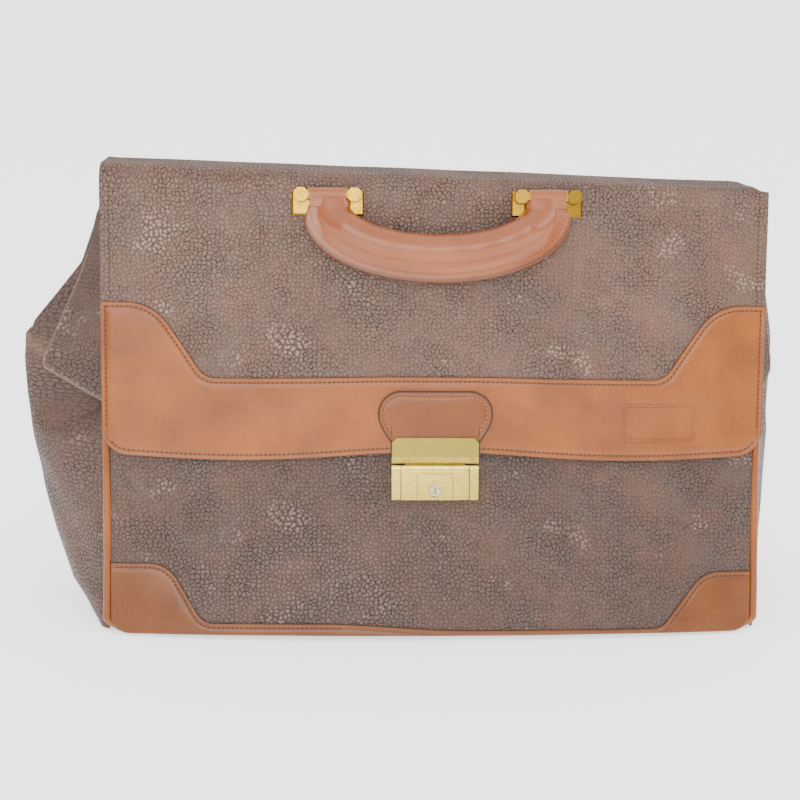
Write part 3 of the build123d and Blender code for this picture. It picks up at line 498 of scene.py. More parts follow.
def make_object(name, verts, faces, materials, face_materials=None, uvs=None, rim=None, wear_and_highlight=None):
    mesh = bpy.data.meshes.new(name)
    mesh.from_pydata((np.asarray(verts, float) * MM).tolist(), [], faces)
    for material in materials:
        mesh.materials.append(material)
    if face_materials is not None:
        mesh.polygons.foreach_set("material_index", face_materials)
    mesh.polygons.foreach_set("use_smooth", [True] * len(mesh.polygons))
    if uvs is not None:
        layer = mesh.uv_layers.new(name="flat")
        loops = np.empty(len(mesh.loops), np.int32)
        mesh.loops.foreach_get("vertex_index", loops)
        layer.data.foreach_set("uv", (np.asarray(uvs, float) * MM)[loops].astype(np.float32).ravel())
    for word, values in (("rim", rim), ("wear_and_highlight", wear_and_highlight)):
        if values is not None:
            attribute = mesh.attributes.new(word, "FLOAT", "POINT")
            attribute.data.foreach_set("value", np.asarray(values, np.float32))
    mesh.update()
    obj = bpy.data.objects.new(name, mesh)
    bpy.context.scene.collection.objects.link(obj)
    return obj


def columns(half, step=6.0, extra=()):
    """The x of each column: close together near both sides, about a step apart between them."""
    wide = 2 * half - 24
    middle = list(np.arange(-half + 12, half - 12 + step / 2, wide / round(wide / step)))
    edge = BORDER + [9.2]
    xs = [-half + d for d in edge] + middle + [half - d for d in reversed(edge)] + list(extra)
    return np.array(sorted(set(round(x, 3) for x in xs)))


def sheet(name, xs, low, high, place, inside, outside, materials, rounding=0.9, groove=None, step=6.0,
          sewn_all_round=True):
    """A thick sheet of leather. groove is (distance from the border, depth) of the stitch line."""
    xs = np.asarray(xs, float)
    lows, highs = np.array([low(x) for x in xs]), np.array([high(x) for x in xs])
    slope_low = np.sqrt(1 + np.clip(np.gradient(lows, xs), -2.5, 2.5) ** 2)
    slope_high = np.sqrt(1 + np.clip(np.gradient(highs, xs), -2.5, 2.5) ** 2)
    tall = float(np.max(highs - lows))
    count = max(2, int((tall - 2 * BORDER[-1]) / step))
    border = np.array(BORDER)
    rows_list = []
    for i in range(len(xs)):
        h = highs[i] - lows[i]
        squeeze = min(1.0, 0.42 * h / (BORDER[-1] * max(slope_low[i], slope_high[i])))
        a = lows[i] + border * slope_low[i] * squeeze
        b = highs[i] - border[::-1] * slope_high[i] * squeeze
        mid = np.linspace(a[-1], b[0], count + 2)[1:-1]
        rows_list.append(np.concatenate([a, mid, b]))
    s = np.array(rows_list)
    x = np.repeat(xs[:, None], s.shape[1], axis=1)
    side = np.minimum(x - xs[0], xs[-1] - x)
    d = np.minimum((s - lows[:, None]) / slope_low[:, None], side)
    to_top = (highs[:, None] - s) / slope_high[:, None]
    d = np.minimum(d, to_top)
    inner = np.clip(rounding - d, 0, rounding)
    n_top = outside - (rounding - np.sqrt(np.maximum(rounding ** 2 - inner ** 2, 0)))
    if not sewn_all_round:
        d = to_top
    if groove:
        n_top = n_top - groove[1] * np.exp(-((d - groove[0]) / np.where(d > groove[0], 1.25, 0.8)) ** 2)
    top = place(x, s, n_top)
    bottom = place(x, s, np.full_like(s, inside))
    c, r = s.shape
    verts = np.concatenate([top.reshape(-1, 3), bottom.reshape(-1, 3)])
    flat = np.stack([x, s], axis=-1).reshape(-1, 2)
    faces, kinds = [], []
    half = c * r
    for i in range(c - 1):
        for j in range(r - 1):
            a, b = i * r + j, (i + 1) * r + j
            faces.append((a, b, b + 1, a + 1))
            kinds.append(0)
            faces.append((half + a, half + a + 1, half + b + 1, half + b))
            kinds.append(0)
    ring = [i * r for i in range(c)] + [(c - 1) * r + j for j in range(1, r)]
    ring += [i * r + r - 1 for i in range(c - 2, -1, -1)] + [j for j in range(r - 2, 0, -1)]
    edge_kind = 1 if len(materials) > 1 else 0
    for a, b in zip(ring, ring[1:] + ring[:1]):
        faces.append((a, half + a, half + b, b))
        kinds.append(edge_kind)
    return make_object(name, verts, faces, materials, kinds, np.concatenate([flat, flat]),
                       np.concatenate([d.ravel(), d.ravel()]))


def border_points(xs, border, inward, offset, step=1.0):
    """Flat points along a border, moved inward (+1 up, -1 down) by the stitch distance."""
    xs = np.arange(xs[0], xs[1] + step / 2, step)
    ss = np.array([border(x) for x in xs])
    tangent = np.stack([np.gradient(xs), np.gradient(ss)], axis=-1)
    tangent /= np.linalg.norm(tangent, axis=1)[:, None]
    normal = np.stack([-tangent[:, 1], tangent[:, 0]], axis=-1) * inward
    return np.stack([xs, ss], axis=-1) + normal * offset


print("border steps:", BORDER)

# %% [markdown]
# ## Stitches
# The trim is sewn with waxed thread at about eight stitches to the inch, so one every 3 mm. Each
# stitch is a short fat grain of thread that dives into the leather at both ends and leans a little,
# as hand and machine stitches do. One small shape is copied along the line and turned to follow it,
# and all the stitches of a line become one mesh.

# %% Stitch builder
def grain_of_thread(length, radius, around=6, along=5):
    verts, faces = [], []
    for i in range(along + 1):
        t = i / along
        r = radius * math.sin(math.pi * (0.08 + 0.84 * t)) ** 0.6
        lift = radius * (math.sin(math.pi * t) * 1.1 - 0.75)
        for j in range(around):
            a = 2 * math.pi * j / around
            verts.append(((t - 0.5) * length, r * math.cos(a), r * math.sin(a) + lift))
    for i in range(along):
        for j in range(around):
            k = (j + 1) % around
            faces.append((i * around + j, i * around + k, (i + 1) * around + k, (i + 1) * around + j))
    faces.append(tuple(range(around))[::-1])
    faces.append(tuple(along * around + j for j in range(around)))
    return np.array(verts), faces


def stitch_lines(name, lines, material, pitch=3.0, length=1.9, radius=0.5, lean=8.0):
    """lines is a list of (points in space, outward directions)."""
    template, shape = grain_of_thread(length, radius)
    verts, faces = [], []
    tilt = math.radians(lean)
    for points, outs in lines:
        points, outs = np.asarray(points, float), np.asarray(outs, float)
        gaps = np.linalg.norm(np.diff(points, axis=0), axis=1)
        run = np.concatenate([[0], np.cumsum(gaps)])
        for at in np.arange(pitch / 2, run[-1], pitch):
            p = np.array([np.interp(at, run, points[:, k]) for k in range(3)])
            ahead = np.array([np.interp(min(at + 0.8, run[-1]), run, points[:, k]) for k in range(3)])
            behind = np.array([np.interp(max(at - 0.8, 0), run, points[:, k]) for k in range(3)])
            t = (ahead - behind) / max(np.linalg.norm(ahead - behind), 1e-9)
            o = np.array([np.interp(at, run, outs[:, k]) for k in range(3)])
            o -= t * (o @ t)
            o /= np.linalg.norm(o)
            b = np.cross(o, t)
            t2, b2 = t * math.cos(tilt) + b * math.sin(tilt), b * math.cos(tilt) - t * math.sin(tilt)
            start = len(verts)
            verts.extend(p + template[:, :1] * t2 + template[:, 1:2] * b2 + template[:, 2:] * o)
            faces.extend(tuple(start + v for v in f) for f in shape)
    return make_object(name, verts, faces, [material])


def laid(place, flat, n):
    """A flat line laid on a surface: its points and the outward direction at each."""
    flat = np.asarray(flat, float)
    here = place(flat[:, 0], flat[:, 1], np.full(len(flat), n))
    out = place(flat[:, 0], flat[:, 1], np.full(len(flat), n + 1.0)) - here
    return here, out / np.linalg.norm(out, axis=1)[:, None]


print("stitch of", len(grain_of_thread(2.4, 0.4)[0]), "points")

# %% [markdown]
# ## Outlines
# The band on the flap is low in the middle and climbs to the sides in an S. The foot trim on the
# panels does the same on a smaller scale. Two arcs and a straight slope make the S, and a shared
# function works for both, because the leather worker would use the same template. The lower
# corners of the flap and the panels are simple quarter rounds.

# %% Outline functions
def corner_rise(x, half, radius, foot=0.0):
    """Height of a border with rounded lower corners."""
    over = max(0.0, abs(x) - (half - radius))
    return foot + radius - math.sqrt(max(radius ** 2 - over ** 2, 0.0))


def s_step(half, middle, end, shoulder, slope_end, radius_up, radius_low):
    """Height of a border that is low in the middle and climbs to both ends."""
    xa, xb = shoulder, slope_end
    rise, run = end - middle, xb - xa
    angle = math.atan2(rise, run)
    t_up, t_low = radius_up * math.tan(angle / 2), radius_low * math.tan(angle / 2)

    def height(x):
        x = half - abs(x)
        if x <= xa - t_up:
            return end
        if x <= xa + t_up * math.cos(angle):
            return end - radius_up + math.sqrt(max(radius_up ** 2 - (x - xa + t_up) ** 2, 0))
        if x <= xb - t_low * math.cos(angle):
            return end - (x - xa) * rise / run
        if x <= xb + t_low:
            return middle + radius_low - math.sqrt(max(radius_low ** 2 - (xb + t_low - x) ** 2, 0))
        return middle
    return height


def flap_low(x):
    return corner_rise(x, FLAP_HALF, 16.0)


def panel_low(x):
    return corner_rise(x, HALF_WIDTH, 12.0, -2.5)


band_high = s_step(FLAP_HALF, 49.5, 96.5, 33.0, 65.0, 32.0, 14.0)
trim_left = s_step(HALF_WIDTH, 5.0, 43.0, 37.0, 60.0, 22.0, 12.0)
trim_right = s_step(HALF_WIDTH, 0.6, 37.0, 32.0, 60.0, 22.0, 12.0)


def trim_high(x):
    """The strip along the foot rolls under the bag over the right half, where the leather sags."""
    share = float(smooth(-70, 20, x))
    return trim_left(x) * (1 - share) + trim_right(x) * share


S_COLUMNS = [side * (FLAP_HALF - d) for side in (-1, 1) for d in np.arange(8, 90, 2.5)]
print("band height at side, middle:", band_high(-210), band_high(0))

# %% [markdown]
# ## The flap
# The grained flap is cut in one piece from the lower front edge to the back hem. It hides behind
# the tan band at the bottom, so only its upper part shows. Its cotton lining is a second sheet
# under it. Both follow the same run, so they sag together. The tan band lies on top with its edge
# painted and two rows of stitches.

# %% Flap leather, lining and band
flap_columns = columns(FLAP_HALF, 6.0)
flap_skin = sheet("flap_leather", flap_columns, flap_low, lambda x: RUN_END, flap_at, 0.05, LEATHER,
                  [GRAIN, RAW_EDGE], rounding=0.7, groove=(6.0, 0.3), step=3.0)
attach(flap_skin, "flap")
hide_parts("flap_panel")

flap_lining = sheet("flap_cotton_lining", flap_columns, flap_low, lambda x: RUN_END, flap_at, -1.4, -0.05,
                    [LINING, RAW_EDGE], rounding=0.3, step=5.0)
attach(flap_lining, "flap")
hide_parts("flap_lining")

band_columns = columns(FLAP_HALF, 6.0, S_COLUMNS)
band = sheet("flap_tan_band", band_columns, lambda x: flap_low(x) - 0.3, band_high, flap_at, LEATHER - 0.1,
             LEATHER + TRIM_T, [TAN, EDGE], rounding=0.8, groove=(SEAM_MM, 0.6))
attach(band, "flap")
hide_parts("flap_band")
print("flap pieces:", len(flap_skin.data.polygons), len(band.data.polygons), "faces")

# %% [markdown]
# The stitches of the band run 3 mm inside its lower edge, its upper edge and both sides.

# %% Band stitches
in_band = LEATHER + TRIM_T - 0.3
span = (-FLAP_HALF + SEAM_MM, FLAP_HALF - SEAM_MM)
lines = [laid(flap_at, border_points(span, flap_low, 1, SEAM_MM), in_band),
         laid(flap_at, border_points(span, band_high, -1, SEAM_MM), in_band)]
for side in (-1, 1):
    x = side * (FLAP_HALF - SEAM_MM)
    lines.append(laid(flap_at, [(x, s) for s in np.arange(17, 94, 1.5)], in_band))
band_stitches = stitch_lines("flap_band_stitches", lines, THREAD)
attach(band_stitches, "flap")
print("band stitches:", len(band_stitches.data.polygons), "faces")

# %% [markdown]
# ## The hem strip
# A strip of the grained leather joins the hem of the flap to the back panel. It lies flat on the
# top of the panel, bends at a knee and stands up to meet the hem. The flap turns about the hem, so
# the strip itself stays with the back side.

# %% Hem strip
ON_PANEL = 22.0
ANCHOR_LOW, ANCHOR_KNEE = SLOPE - 34.0, SLOPE - 34.0 + ON_PANEL
KNEE = FOLD + PANEL_UP * ANCHOR_KNEE + PANEL_OUT * LEATHER
HEM = np.array([-SEAM[0] - 0.4, SEAM[1] - 0.3])
RISE = float(np.linalg.norm(HEM - KNEE))


def anchor_at(x, s, n):
    """The strip's surface: flat on the back panel as far as the knee, then up to the hem."""
    x, s, n = np.broadcast_arrays(np.asarray(x, float), np.asarray(s, float), np.asarray(n, float))
    up = (HEM - KNEE) / RISE
    out = np.array([-up[1], up[0]])
    share = smooth(18, 26, s)
    flat = np.minimum(s, ON_PANEL)
    over = np.maximum(s - ON_PANEL, 0.0)
    base = FOLD + PANEL_OUT * LEATHER
    y = base[0] + PANEL_UP[0] * (ANCHOR_LOW + flat) + up[0] * over
    z = base[1] + PANEL_UP[1] * (ANCHOR_LOW + flat) + up[1] * over
    y = y + (PANEL_OUT[0] * (1 - share) + out[0] * share) * n
    z = z + (PANEL_OUT[1] * (1 - share) + out[1] * share) * n
    z = z + smooth(ON_PANEL, ON_PANEL + RISE, s) * seam_drop(x)
    return np.stack([x, -y, z], axis=-1)


anchor = sheet("hem_strip", columns(207.0, 8.0), lambda x: 0.0, lambda x: ON_PANEL + RISE, anchor_at,
               0.0, LEATHER, [GRAIN, RAW_EDGE], rounding=0.6, step=3.0)
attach(anchor, "back_side")
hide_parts("flap_anchor")
low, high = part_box("flap_anchor")
print("hem strip solid:", [round(v * 1000, 1) for v in (*low, *high)], "knee", KNEE, "hem", HEM)

# %% [markdown]
# The flap itself has a row of dark stitches up each side edge, from the band to the first fold.

# %% Stitches up the flap's sides
lines = [laid(flap_at, [(side * (FLAP_HALF - 6), s) for s in np.arange(98, 172, 1.5)], LEATHER - 0.15)
         for side in (-1, 1)]
flap_stitches = stitch_lines("flap_side_stitches", lines, DARK_THREAD)
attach(flap_stitches, "flap")
print("side stitches:", len(flap_stitches.data.polygons), "faces")

# %% [markdown]
# ## The blank maker's panel
# Near the right end of the band, a plain rectangle is pressed into the leather with a double line
# round it. It is made as a low raised frame, two thin lips of leather with nothing written inside.

# %% Pressed rectangle
def pressed_frame(name, cx, cs, half_w, half_h, width, n):
    loops = []
    for inset, lift in ((0.0, -0.1), (width * 0.3, 0.42), (width * 0.7, 0.42), (width, -0.1)):
        ring = []
        w, h, r = half_w - inset, half_h - inset, max(1.6 - inset, 0.4)
        for qx, qs, a0 in ((1, 1, 0), (-1, 1, 90), (-1, -1, 180), (1, -1, 270)):
            for k in range(5):
                a = math.radians(a0 + 22.5 * k)
                ring.append((cx + qx * (w - r) + r * math.cos(a), cs + qs * (h - r) + r * math.sin(a)))
        dense = []
        for p, q in zip(ring, ring[1:] + ring[:1]):
            parts = max(1, int(math.dist(p, q) / 3))
            for i in range(parts):
                dense.append((p[0] + (q[0] - p[0]) * i / parts, p[1] + (q[1] - p[1]) * i / parts))
        loops.append((dense, lift))
    count = min(len(l[0]) for l in loops)
    verts, faces, flats = [], [], []
    for dense, lift in loops:
        pick = [dense[int(i * len(dense) / count)] for i in range(count)]
        flats += pick
        verts.append(flap_at(np.array([p[0] for p in pick]), np.array([p[1] for p in pick]), n + lift))
    verts = np.concatenate(verts)
    for ring_index in range(3):
        for i in range(count):
            a, b = ring_index * count + i, ring_index * count + (i + 1) % count
            faces.append((a, b, b + count, a + count))
    rims = [depth for depth in (0.35, 5.0, 5.0, 0.35) for _ in range(count)]
    return make_object(name, verts, faces, [TAN], None, flats, rims)


LABEL_CENTRE = (145.0, 23.0)
label_outer = pressed_frame("pressed_rectangle_outer", *LABEL_CENTRE, 24.3, 12.2, 1.2, LEATHER + TRIM_T)
label_inner = pressed_frame("pressed_rectangle_inner", *LABEL_CENTRE, 22.2, 10.2, 0.9, LEATHER + TRIM_T)
for piece in (label_outer, label_inner):
    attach(piece, "flap")
print("pressed rectangle of", len(label_outer.data.vertices), "points")

# %% [markdown]
# ## The lock tab
# The hasp is riveted to a small tongue of tan leather, wide at the top and narrowing to the width
# of the metal. Its outline is drawn once for the right half and mirrored. The corners are round, so
# the upper border is a function of x like the others, and the narrow neck is the lower border.

# %% Tab
TAB_HALF, TAB_NECK, TAB_FLAT, TAB_TOP = 36.6, 28.0, 21.6, 40.0
TAB_WIDEST = 26.0


def tab_low(x):
    x = min(abs(x), TAB_HALF)
    if x <= TAB_NECK:
        return -2.0
    return 7.0 + 19.0 * 2 / math.pi * math.asin((x - TAB_NECK) / (TAB_HALF - TAB_NECK))


def tab_high(x):
    x = min(abs(x), TAB_HALF)
    if x <= TAB_FLAT:
        return TAB_TOP
    along = (x - TAB_FLAT) / (TAB_HALF - TAB_FLAT)
    return TAB_WIDEST + (TAB_TOP - TAB_WIDEST) * math.sqrt(max(1 - along ** 2, 0.0))


tab_columns = np.array(sorted(set([-TAB_HALF, TAB_HALF] + [round(v, 2) for v in np.linspace(-36.4, 36.4, 70)]
                                  + [-28.01, -27.99, 27.99, 28.01])))
tab = sheet("lock_leather_tab", tab_columns, tab_low, tab_high, flap_at, LEATHER + TRIM_T - 0.1,
            LEATHER + TRIM_T + TAB_T, [TAN_TAB, EDGE], rounding=0.9, groove=(SEAM_MM, 0.5), step=4.0)
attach(tab, "flap")
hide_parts("lock_tab")
points = [(-28.6, 14.0), (-31.4, 18.5), (-33.4, 24.0), (-33.3, 28.6), (-31.0, 32.9), (-27.2, 35.7)]
points += [(-21.9, 36.9)]
mirrored = [(-a, b) for a, b in reversed(points)]
curve = np.array(points + [(-12.0, 35.6), (0.0, 35.6), (12.0, 35.6)] + mirrored)
run = np.concatenate([[0], np.cumsum(np.linalg.norm(np.diff(curve, axis=0), axis=1))])
dense = np.stack([np.interp(np.arange(0, run[-1], 1.0), run, curve[:, k]) for k in (0, 1)], axis=-1)
in_tab = LEATHER + TRIM_T + TAB_T - 0.2
tab_stitches = stitch_lines("lock_tab_stitches", [laid(flap_at, dense, in_tab)], PALE_THREAD)
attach(tab_stitches, "flap")
print("tab:", len(tab.data.polygons), "faces")

# %% [markdown]
# ## Front and back panels
# Each panel is grained leather on board, in a darker copy of the leather that carries painted
# shade. At its foot lie a thin strip and two raised corner patches of tan leather, cut in one piece
# and stitched along their upper edge; their tan is a darker copy too, with painted shade.

# %% Panels and foot trim
NOTCH_X = 199.5
TRIM_STEPS = [side * (HALF_WIDTH - d) for side in (-1, 1) for d in np.arange(10, 80, 2.5)]
NOTCH_STEPS = [-NOTCH_X - 0.1, -NOTCH_X + 0.1, NOTCH_X - 0.1, NOTCH_X + 0.1]
trim_columns = columns(HALF_WIDTH, 6.0, TRIM_STEPS)
panel_columns = columns(HALF_WIDTH, 6.0, NOTCH_STEPS)


def panel_high(x):
    """The top corners are notched for the frame's arms."""
    return SLOPE - 6.1 if abs(x) < NOTCH_X else SLOPE - 14.0


for name, place, body in (("front", front_at, "front_side"), ("back", back_at, "back_side")):
    skin = sheet(f"{name}_panel_leather", panel_columns, panel_low, panel_high, place, 0.05, LEATHER,
                 [GRAIN_PANEL_SHADED, RAW_EDGE], rounding=0.6, step=5.0)
    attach(skin, body)
    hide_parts(f"{name}_panel")
    trim = sheet(f"{name}_foot_trim", trim_columns, lambda x: panel_low(x) - 0.2, trim_high, place,
                 LEATHER - 0.1, LEATHER + TRIM_T, [TAN_SHADED, EDGE], rounding=0.8, groove=(SEAM_MM, 0.5),
                 sewn_all_round=False)
    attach(trim, body)
    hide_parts(f"{name}_base_trim")
    rows = []
    for ends in ((-206, -60), (110, 206)):
        seam = [p for p in border_points(ends, trim_high, -1, SEAM_MM) if p[1] > 1.5]
        rows.append(laid(place, seam, LEATHER + TRIM_T - 0.2))
    stitches = stitch_lines(f"{name}_trim_stitches", rows, THREAD)
    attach(stitches, body)
    print(name, "panel:", len(skin.data.polygons), "trim:", len(trim.data.polygons))

# %% [markdown]
# ## Piping
# A cord wrapped in tan leather is sewn into each side seam and guards the edge of the panel. Only
# its round bead shows, so a ring is swept along the seam, and its foot tucks in under the corner.
# Small changes of thickness along its run keep it from looking like a pipe.

# %% Piping
def tube(name, path, outs, section, materials, scale=None):
    """Sweeps a closed section (a list of (outward, sideways) points) along a path."""
    path, outs = np.asarray(path, float), np.asarray(outs, float)
    tangent = np.gradient(path, axis=0)
    tangent /= np.linalg.norm(tangent, axis=1)[:, None]
    outs = outs - tangent * np.sum(outs * tangent, axis=1)[:, None]
    outs /= np.linalg.norm(outs, axis=1)[:, None]
    across = np.cross(tangent, outs)
    run = np.concatenate([[0], np.cumsum(np.linalg.norm(np.diff(path, axis=0), axis=1))])
    verts, flats, faces = [], [], []
    count = len(section)
    for i in range(len(path)):
        k = 1.0 if scale is None else scale[i]
        turned = 0.0
        for j, (a, b) in enumerate(section):
            verts.append(path[i] + outs[i] * a * k + across[i] * b * k)
            flats.append((run[i], turned))
            turned += math.dist((a, b), section[(j + 1) % count])
    for i in range(len(path) - 1):
        for j in range(count):
            k = (j + 1) % count
            faces.append((i * count + j, i * count + k, (i + 1) * count + k, (i + 1) * count + j))
    faces.append(tuple(range(count))[::-1])
    faces.append(tuple((len(path) - 1) * count + j for j in range(count)))
    return make_object(name, verts, faces, materials, None, flats, [5.0] * len(verts))


def oval(half_out, half_across, around):
    angles = np.linspace(0, 2 * math.pi, around, endpoint=False)
    return [(half_out * math.cos(a), half_across * math.sin(a)) for a in angles]


bead = oval(2.6, 2.6, 16)
for name, place, body in (("front", front_at, "front_side"), ("back", back_at, "back_side")):
    for side, word in ((-1, "left"), (1, "right")):
        u = np.concatenate([np.linspace(-1.2, 8, 14)[:-1], np.linspace(8, SLOPE - 6.8, 84)])
        x = side * (HALF_WIDTH + 2.4) + 0.25 * np.sin(u / 23.0 + side)
        tuck = (1 - smooth(-1.2, 8, u)) ** 1.5
        x = x - side * 9.0 * tuck
        centre = place(x, u, 0.3 + 0.3 * np.sin(u / 31.0) - 3.0 * tuck)
        centre[:, 2] = np.maximum(centre[:, 2], 2.7)
        out = np.tile(np.array([side, 0.0, 0.0]), (len(u), 1))
        swell = 1 + 0.04 * np.sin(u / 9.0) + 0.02 * np.sin(u / 3.7)
        swell = swell * (0.9 + 0.1 * smooth(-1, 5, u))
        piping = tube(f"{name}_{word}_piping", centre, out, bead, [TAN], swell)
        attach(piping, body)
        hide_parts(f"{name}_piping_{word}")
print("piping made")

# %% [markdown]
# The cut edge of the lock tab is sealed with a thick bead of edge paint. The bead is also a painted
# shadow, the dark line where the tab's edge would shade the band. The same sweep draws it, round the
# tab from one side of the neck to the other.

# %% Painted edge and painted shadow of the tab
edge_run = np.array([(x, tab_high(x)) for x in np.linspace(0.1 - TAB_HALF, TAB_HALF - 0.1, 120)])
left = np.array([(-28.2, -1.0)] + [(-x, tab_low(x)) for x in np.linspace(28.2, TAB_HALF, 40)])
edge_run = np.concatenate([left, edge_run, left[::-1] * [-1, 1]])
steps = np.concatenate([[0], np.cumsum(np.linalg.norm(np.diff(edge_run, axis=0), axis=1))])
even = np.arange(0, steps[-1], 0.9)
edge_run = np.stack([np.interp(even, steps, edge_run[:, k]) for k in (0, 1)], axis=-1)
# the bead is edge paint and also a painted shadow along the tab's outline
points, outs = laid(flap_at, edge_run, LEATHER + TRIM_T + 0.75)
tab_edge = tube("lock_tab_edge_paint_and_painted_shadow", points, outs, oval(0.75, 0.5, 8), [EDGE])
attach(tab_edge, "flap")
print("painted edge:", len(tab_edge.data.polygons), "faces")

# %% [markdown]
# ## The base
# The base is a board wrapped in grained leather. Its long edges follow the bow of the panels' feet.

# %% Base leather
def base_at(x, y, n):
    x, y, n = np.broadcast_arrays(np.asarray(x, float), np.asarray(y, float), np.asarray(n, float))
    side = np.clip(np.abs(x) / HALF_WIDTH, 0, 1)
    stretched = y * (1 + 11.6 * (1 - side ** 2.8) / 72.0)
    return np.stack([x, stretched, 1.6 - n], axis=-1)


def base_edge(x):
    over = max(0.0, abs(x) - (HALF_WIDTH - 12.0))
    return 70.6 - 12.0 + math.sqrt(max(144.0 - over ** 2, 0.0))


base = sheet("base_grained_leather", columns(HALF_WIDTH, 8.0), lambda x: -base_edge(x), base_edge, base_at,
             0.05, 1.6, [GRAIN, RAW_EDGE], rounding=0.8, step=7.0)
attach(base, "base")
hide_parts("base_leather")
print("base:", len(base.data.polygons))

# %% [markdown]
# ## Gussets
# The sides are soft grained leather that lets the mouth open. Shut, the spare leather has to go
# somewhere: it bulges out in an ear halfway up and folds in along the middle near the top. Each
# side is made of a lower front and a lower back half, which meet on a soft ridge, and two wings
# that run up to the frame's arms. A wing's outer edge is a sharp fold. The folds and ridges are
# painted paler, partly as wear and partly as a painted highlight along them, and the sides take the
# darker copy of the leather, with painted shade. The left side is far more pushed out than the
# right one, so each side has its own reach.

# %% Gusset shapes
def half_depth_at(z):
    """Distance from the middle of the bag to the side seam, at height z."""
    return -(FOLD[0] + (z - FOLD[1]) * PANEL_UP[0] / PANEL_UP[1]) - 3.2


OUTLINE = [(0, 15), (8, 24), (20, 33), (49, 42.5), (78, 49), (114, 55), (142, 59), (165, 59.5), (178, 58),
           (187, 54), (209, 35.5), (229, 19), (253, 10), (275, 4)]
OUTLINE_REACH = 60.0
PUSHED_OUT = 30.0


def gusset_reach(z, reach):
    """How far the middle of the gusset stands out at height z."""
    shape = float(np.interp(z, *zip(*OUTLINE))) / OUTLINE_REACH
    return reach * (shape if reach > PUSHED_OUT else shape ** 0.8)


def crease_at(t, z, start, end, width):
    """1 on a straight crease between two (t, z) points, fading to 0 within its width (mm)."""
    a, b = np.array([start[0] * 60, start[1]]), np.array([end[0] * 60, end[1]])
    p, ab = np.array([t * 60, z]), b - a
    k = min(1.0, max(0.0, float((p - a) @ ab / (ab @ ab))))
    return math.exp(-(float(np.linalg.norm(p - a - ab * k)) / width) ** 2)


def gusset_half(side, front, reach, seed):
    """One lower half: from the side seam (t = 0) to the middle (t = 1), foot to mouth."""
    zs = np.concatenate([np.linspace(1.6, 20, 10)[:-1], np.linspace(20, 262, 84)])
    ts = np.concatenate([np.linspace(0, 0.1, 5)[:-1], np.linspace(0.1, 0.9, 34), [0.93, 0.96, 0.98, 1.0]])
    top, flats, wear_and_highlight = [], [], []
    sign = -1 if front else 1
    big = reach / 50.0
    for z in zs:
        depth = half_depth_at(z)
        out = gusset_reach(z, reach)
        behind = float(smooth(118, 148, z))
        low_part = 1 - float(smooth(0, 60, z))
        for t in ts:
            y = sign * depth * (1 - t)
            full = math.sin(t * math.pi / 2) ** (1.0 - 0.45 * low_part)
            tucked = math.sin(max(0.0, (t - 0.34) / 0.66) * math.pi / 2) ** 1.2
            x = 210.2 + out * (full + (tucked - full) * behind)
            x -= 4.0 * behind * math.sin(math.pi * min(1.0, t / 0.45)) * (1 if t < 0.45 else 0)
            bulge = math.sin(math.pi * t) * math.sin(math.pi * min(z / 170.0, 1.0))
            x += 3.0 * bulge * big ** 0.5 * (1 - behind)
            x += 1.8 * noise.noise(Vector((z / 34.0, t * 2.2, seed))) * math.sin(math.pi * min(t * 1.4, 1))
            # mark paints the ridges and the line where the halves meet paler: partly wear, partly a painted
            # highlight
            mark = 0.0
            if reach > PUSHED_OUT:
                x -= 2.4 * crease_at(t, z, (0.98, 186), (0.62, 168), 2.0)
                ridge = crease_at(t, z, (0.98, 182.5), (0.6, 164.5), 1.8)
                x += 2.0 * ridge - 2.0 * crease_at(t, z, (0.15, 30), (0.7, 92), 9.0)
                mark = 0.35 * ridge
            x -= 1.0 * math.exp(-((t - 1.0) / 0.04) ** 2)
            mark = max(mark, 0.3 * math.exp(-((t - 0.97) / 0.02) ** 2))
            top.append((side * x, y, z))
            flats.append((t * depth * 1.35, z))
            wear_and_highlight.append(mark)
    return np.array(top), np.array(flats), wear_and_highlight, len(zs), len(ts)


def shell(name, points, flats, wear_and_highlight, rows, cols, thickness, flip, materials):
    """Gives a grid of points a thickness, by moving a copy inwards along the surface normals."""
    grid = points.reshape(rows, cols, 3)
    du, dv = np.gradient(grid, axis=0), np.gradient(grid, axis=1)
    normal = np.cross(du, dv)
    normal /= np.maximum(np.linalg.norm(normal, axis=2), 1e-9)[:, :, None]
    inner = grid - normal * thickness * (1 if flip else -1)
    verts = np.concatenate([grid.reshape(-1, 3), inner.reshape(-1, 3)])
    half = rows * cols
    faces = []
    for i in range(rows - 1):
        for j in range(cols - 1):
            a, b = i * cols + j, (i + 1) * cols + j
            quad = (a, b, b + 1, a + 1)
            back = (half + a, half + a + 1, half + b + 1, half + b)
            faces.append(quad if flip else quad[::-1])
            faces.append(back if flip else back[::-1])
    ring = [i * cols for i in range(rows)] + [(rows - 1) * cols + j for j in range(1, cols)]
    ring += [i * cols + cols - 1 for i in range(rows - 2, -1, -1)] + [j for j in range(cols - 2, 0, -1)]
    for a, b in zip(ring, ring[1:] + ring[:1]):
        quad = (a, half + a, half + b, b)
        faces.append(quad if flip else quad[::-1])
    return make_object(name, verts, faces, materials, None, np.concatenate([flats, flats]), None, wear_and_highlight + wear_and_highlight)


# %% [markdown]
# The wing is the spare leather between the side seam and the frame's arm. It leaves the seam,
# stands out to a sharp vertical fold, and comes back in to the arm. It is widest at its lower tip,
# where it lies over the ear, and runs out to nothing at the top corner of the bag.

# %% Gusset wings
FOLD_LINE = [(165, 43.0), (172, 42.0), (185, 35.5), (204, 27.0), (220, 19.5), (235, 13.7), (256, 7.8),
             (274, 2.8), (277, 2.0)]
FOLD_REACH = 43.0


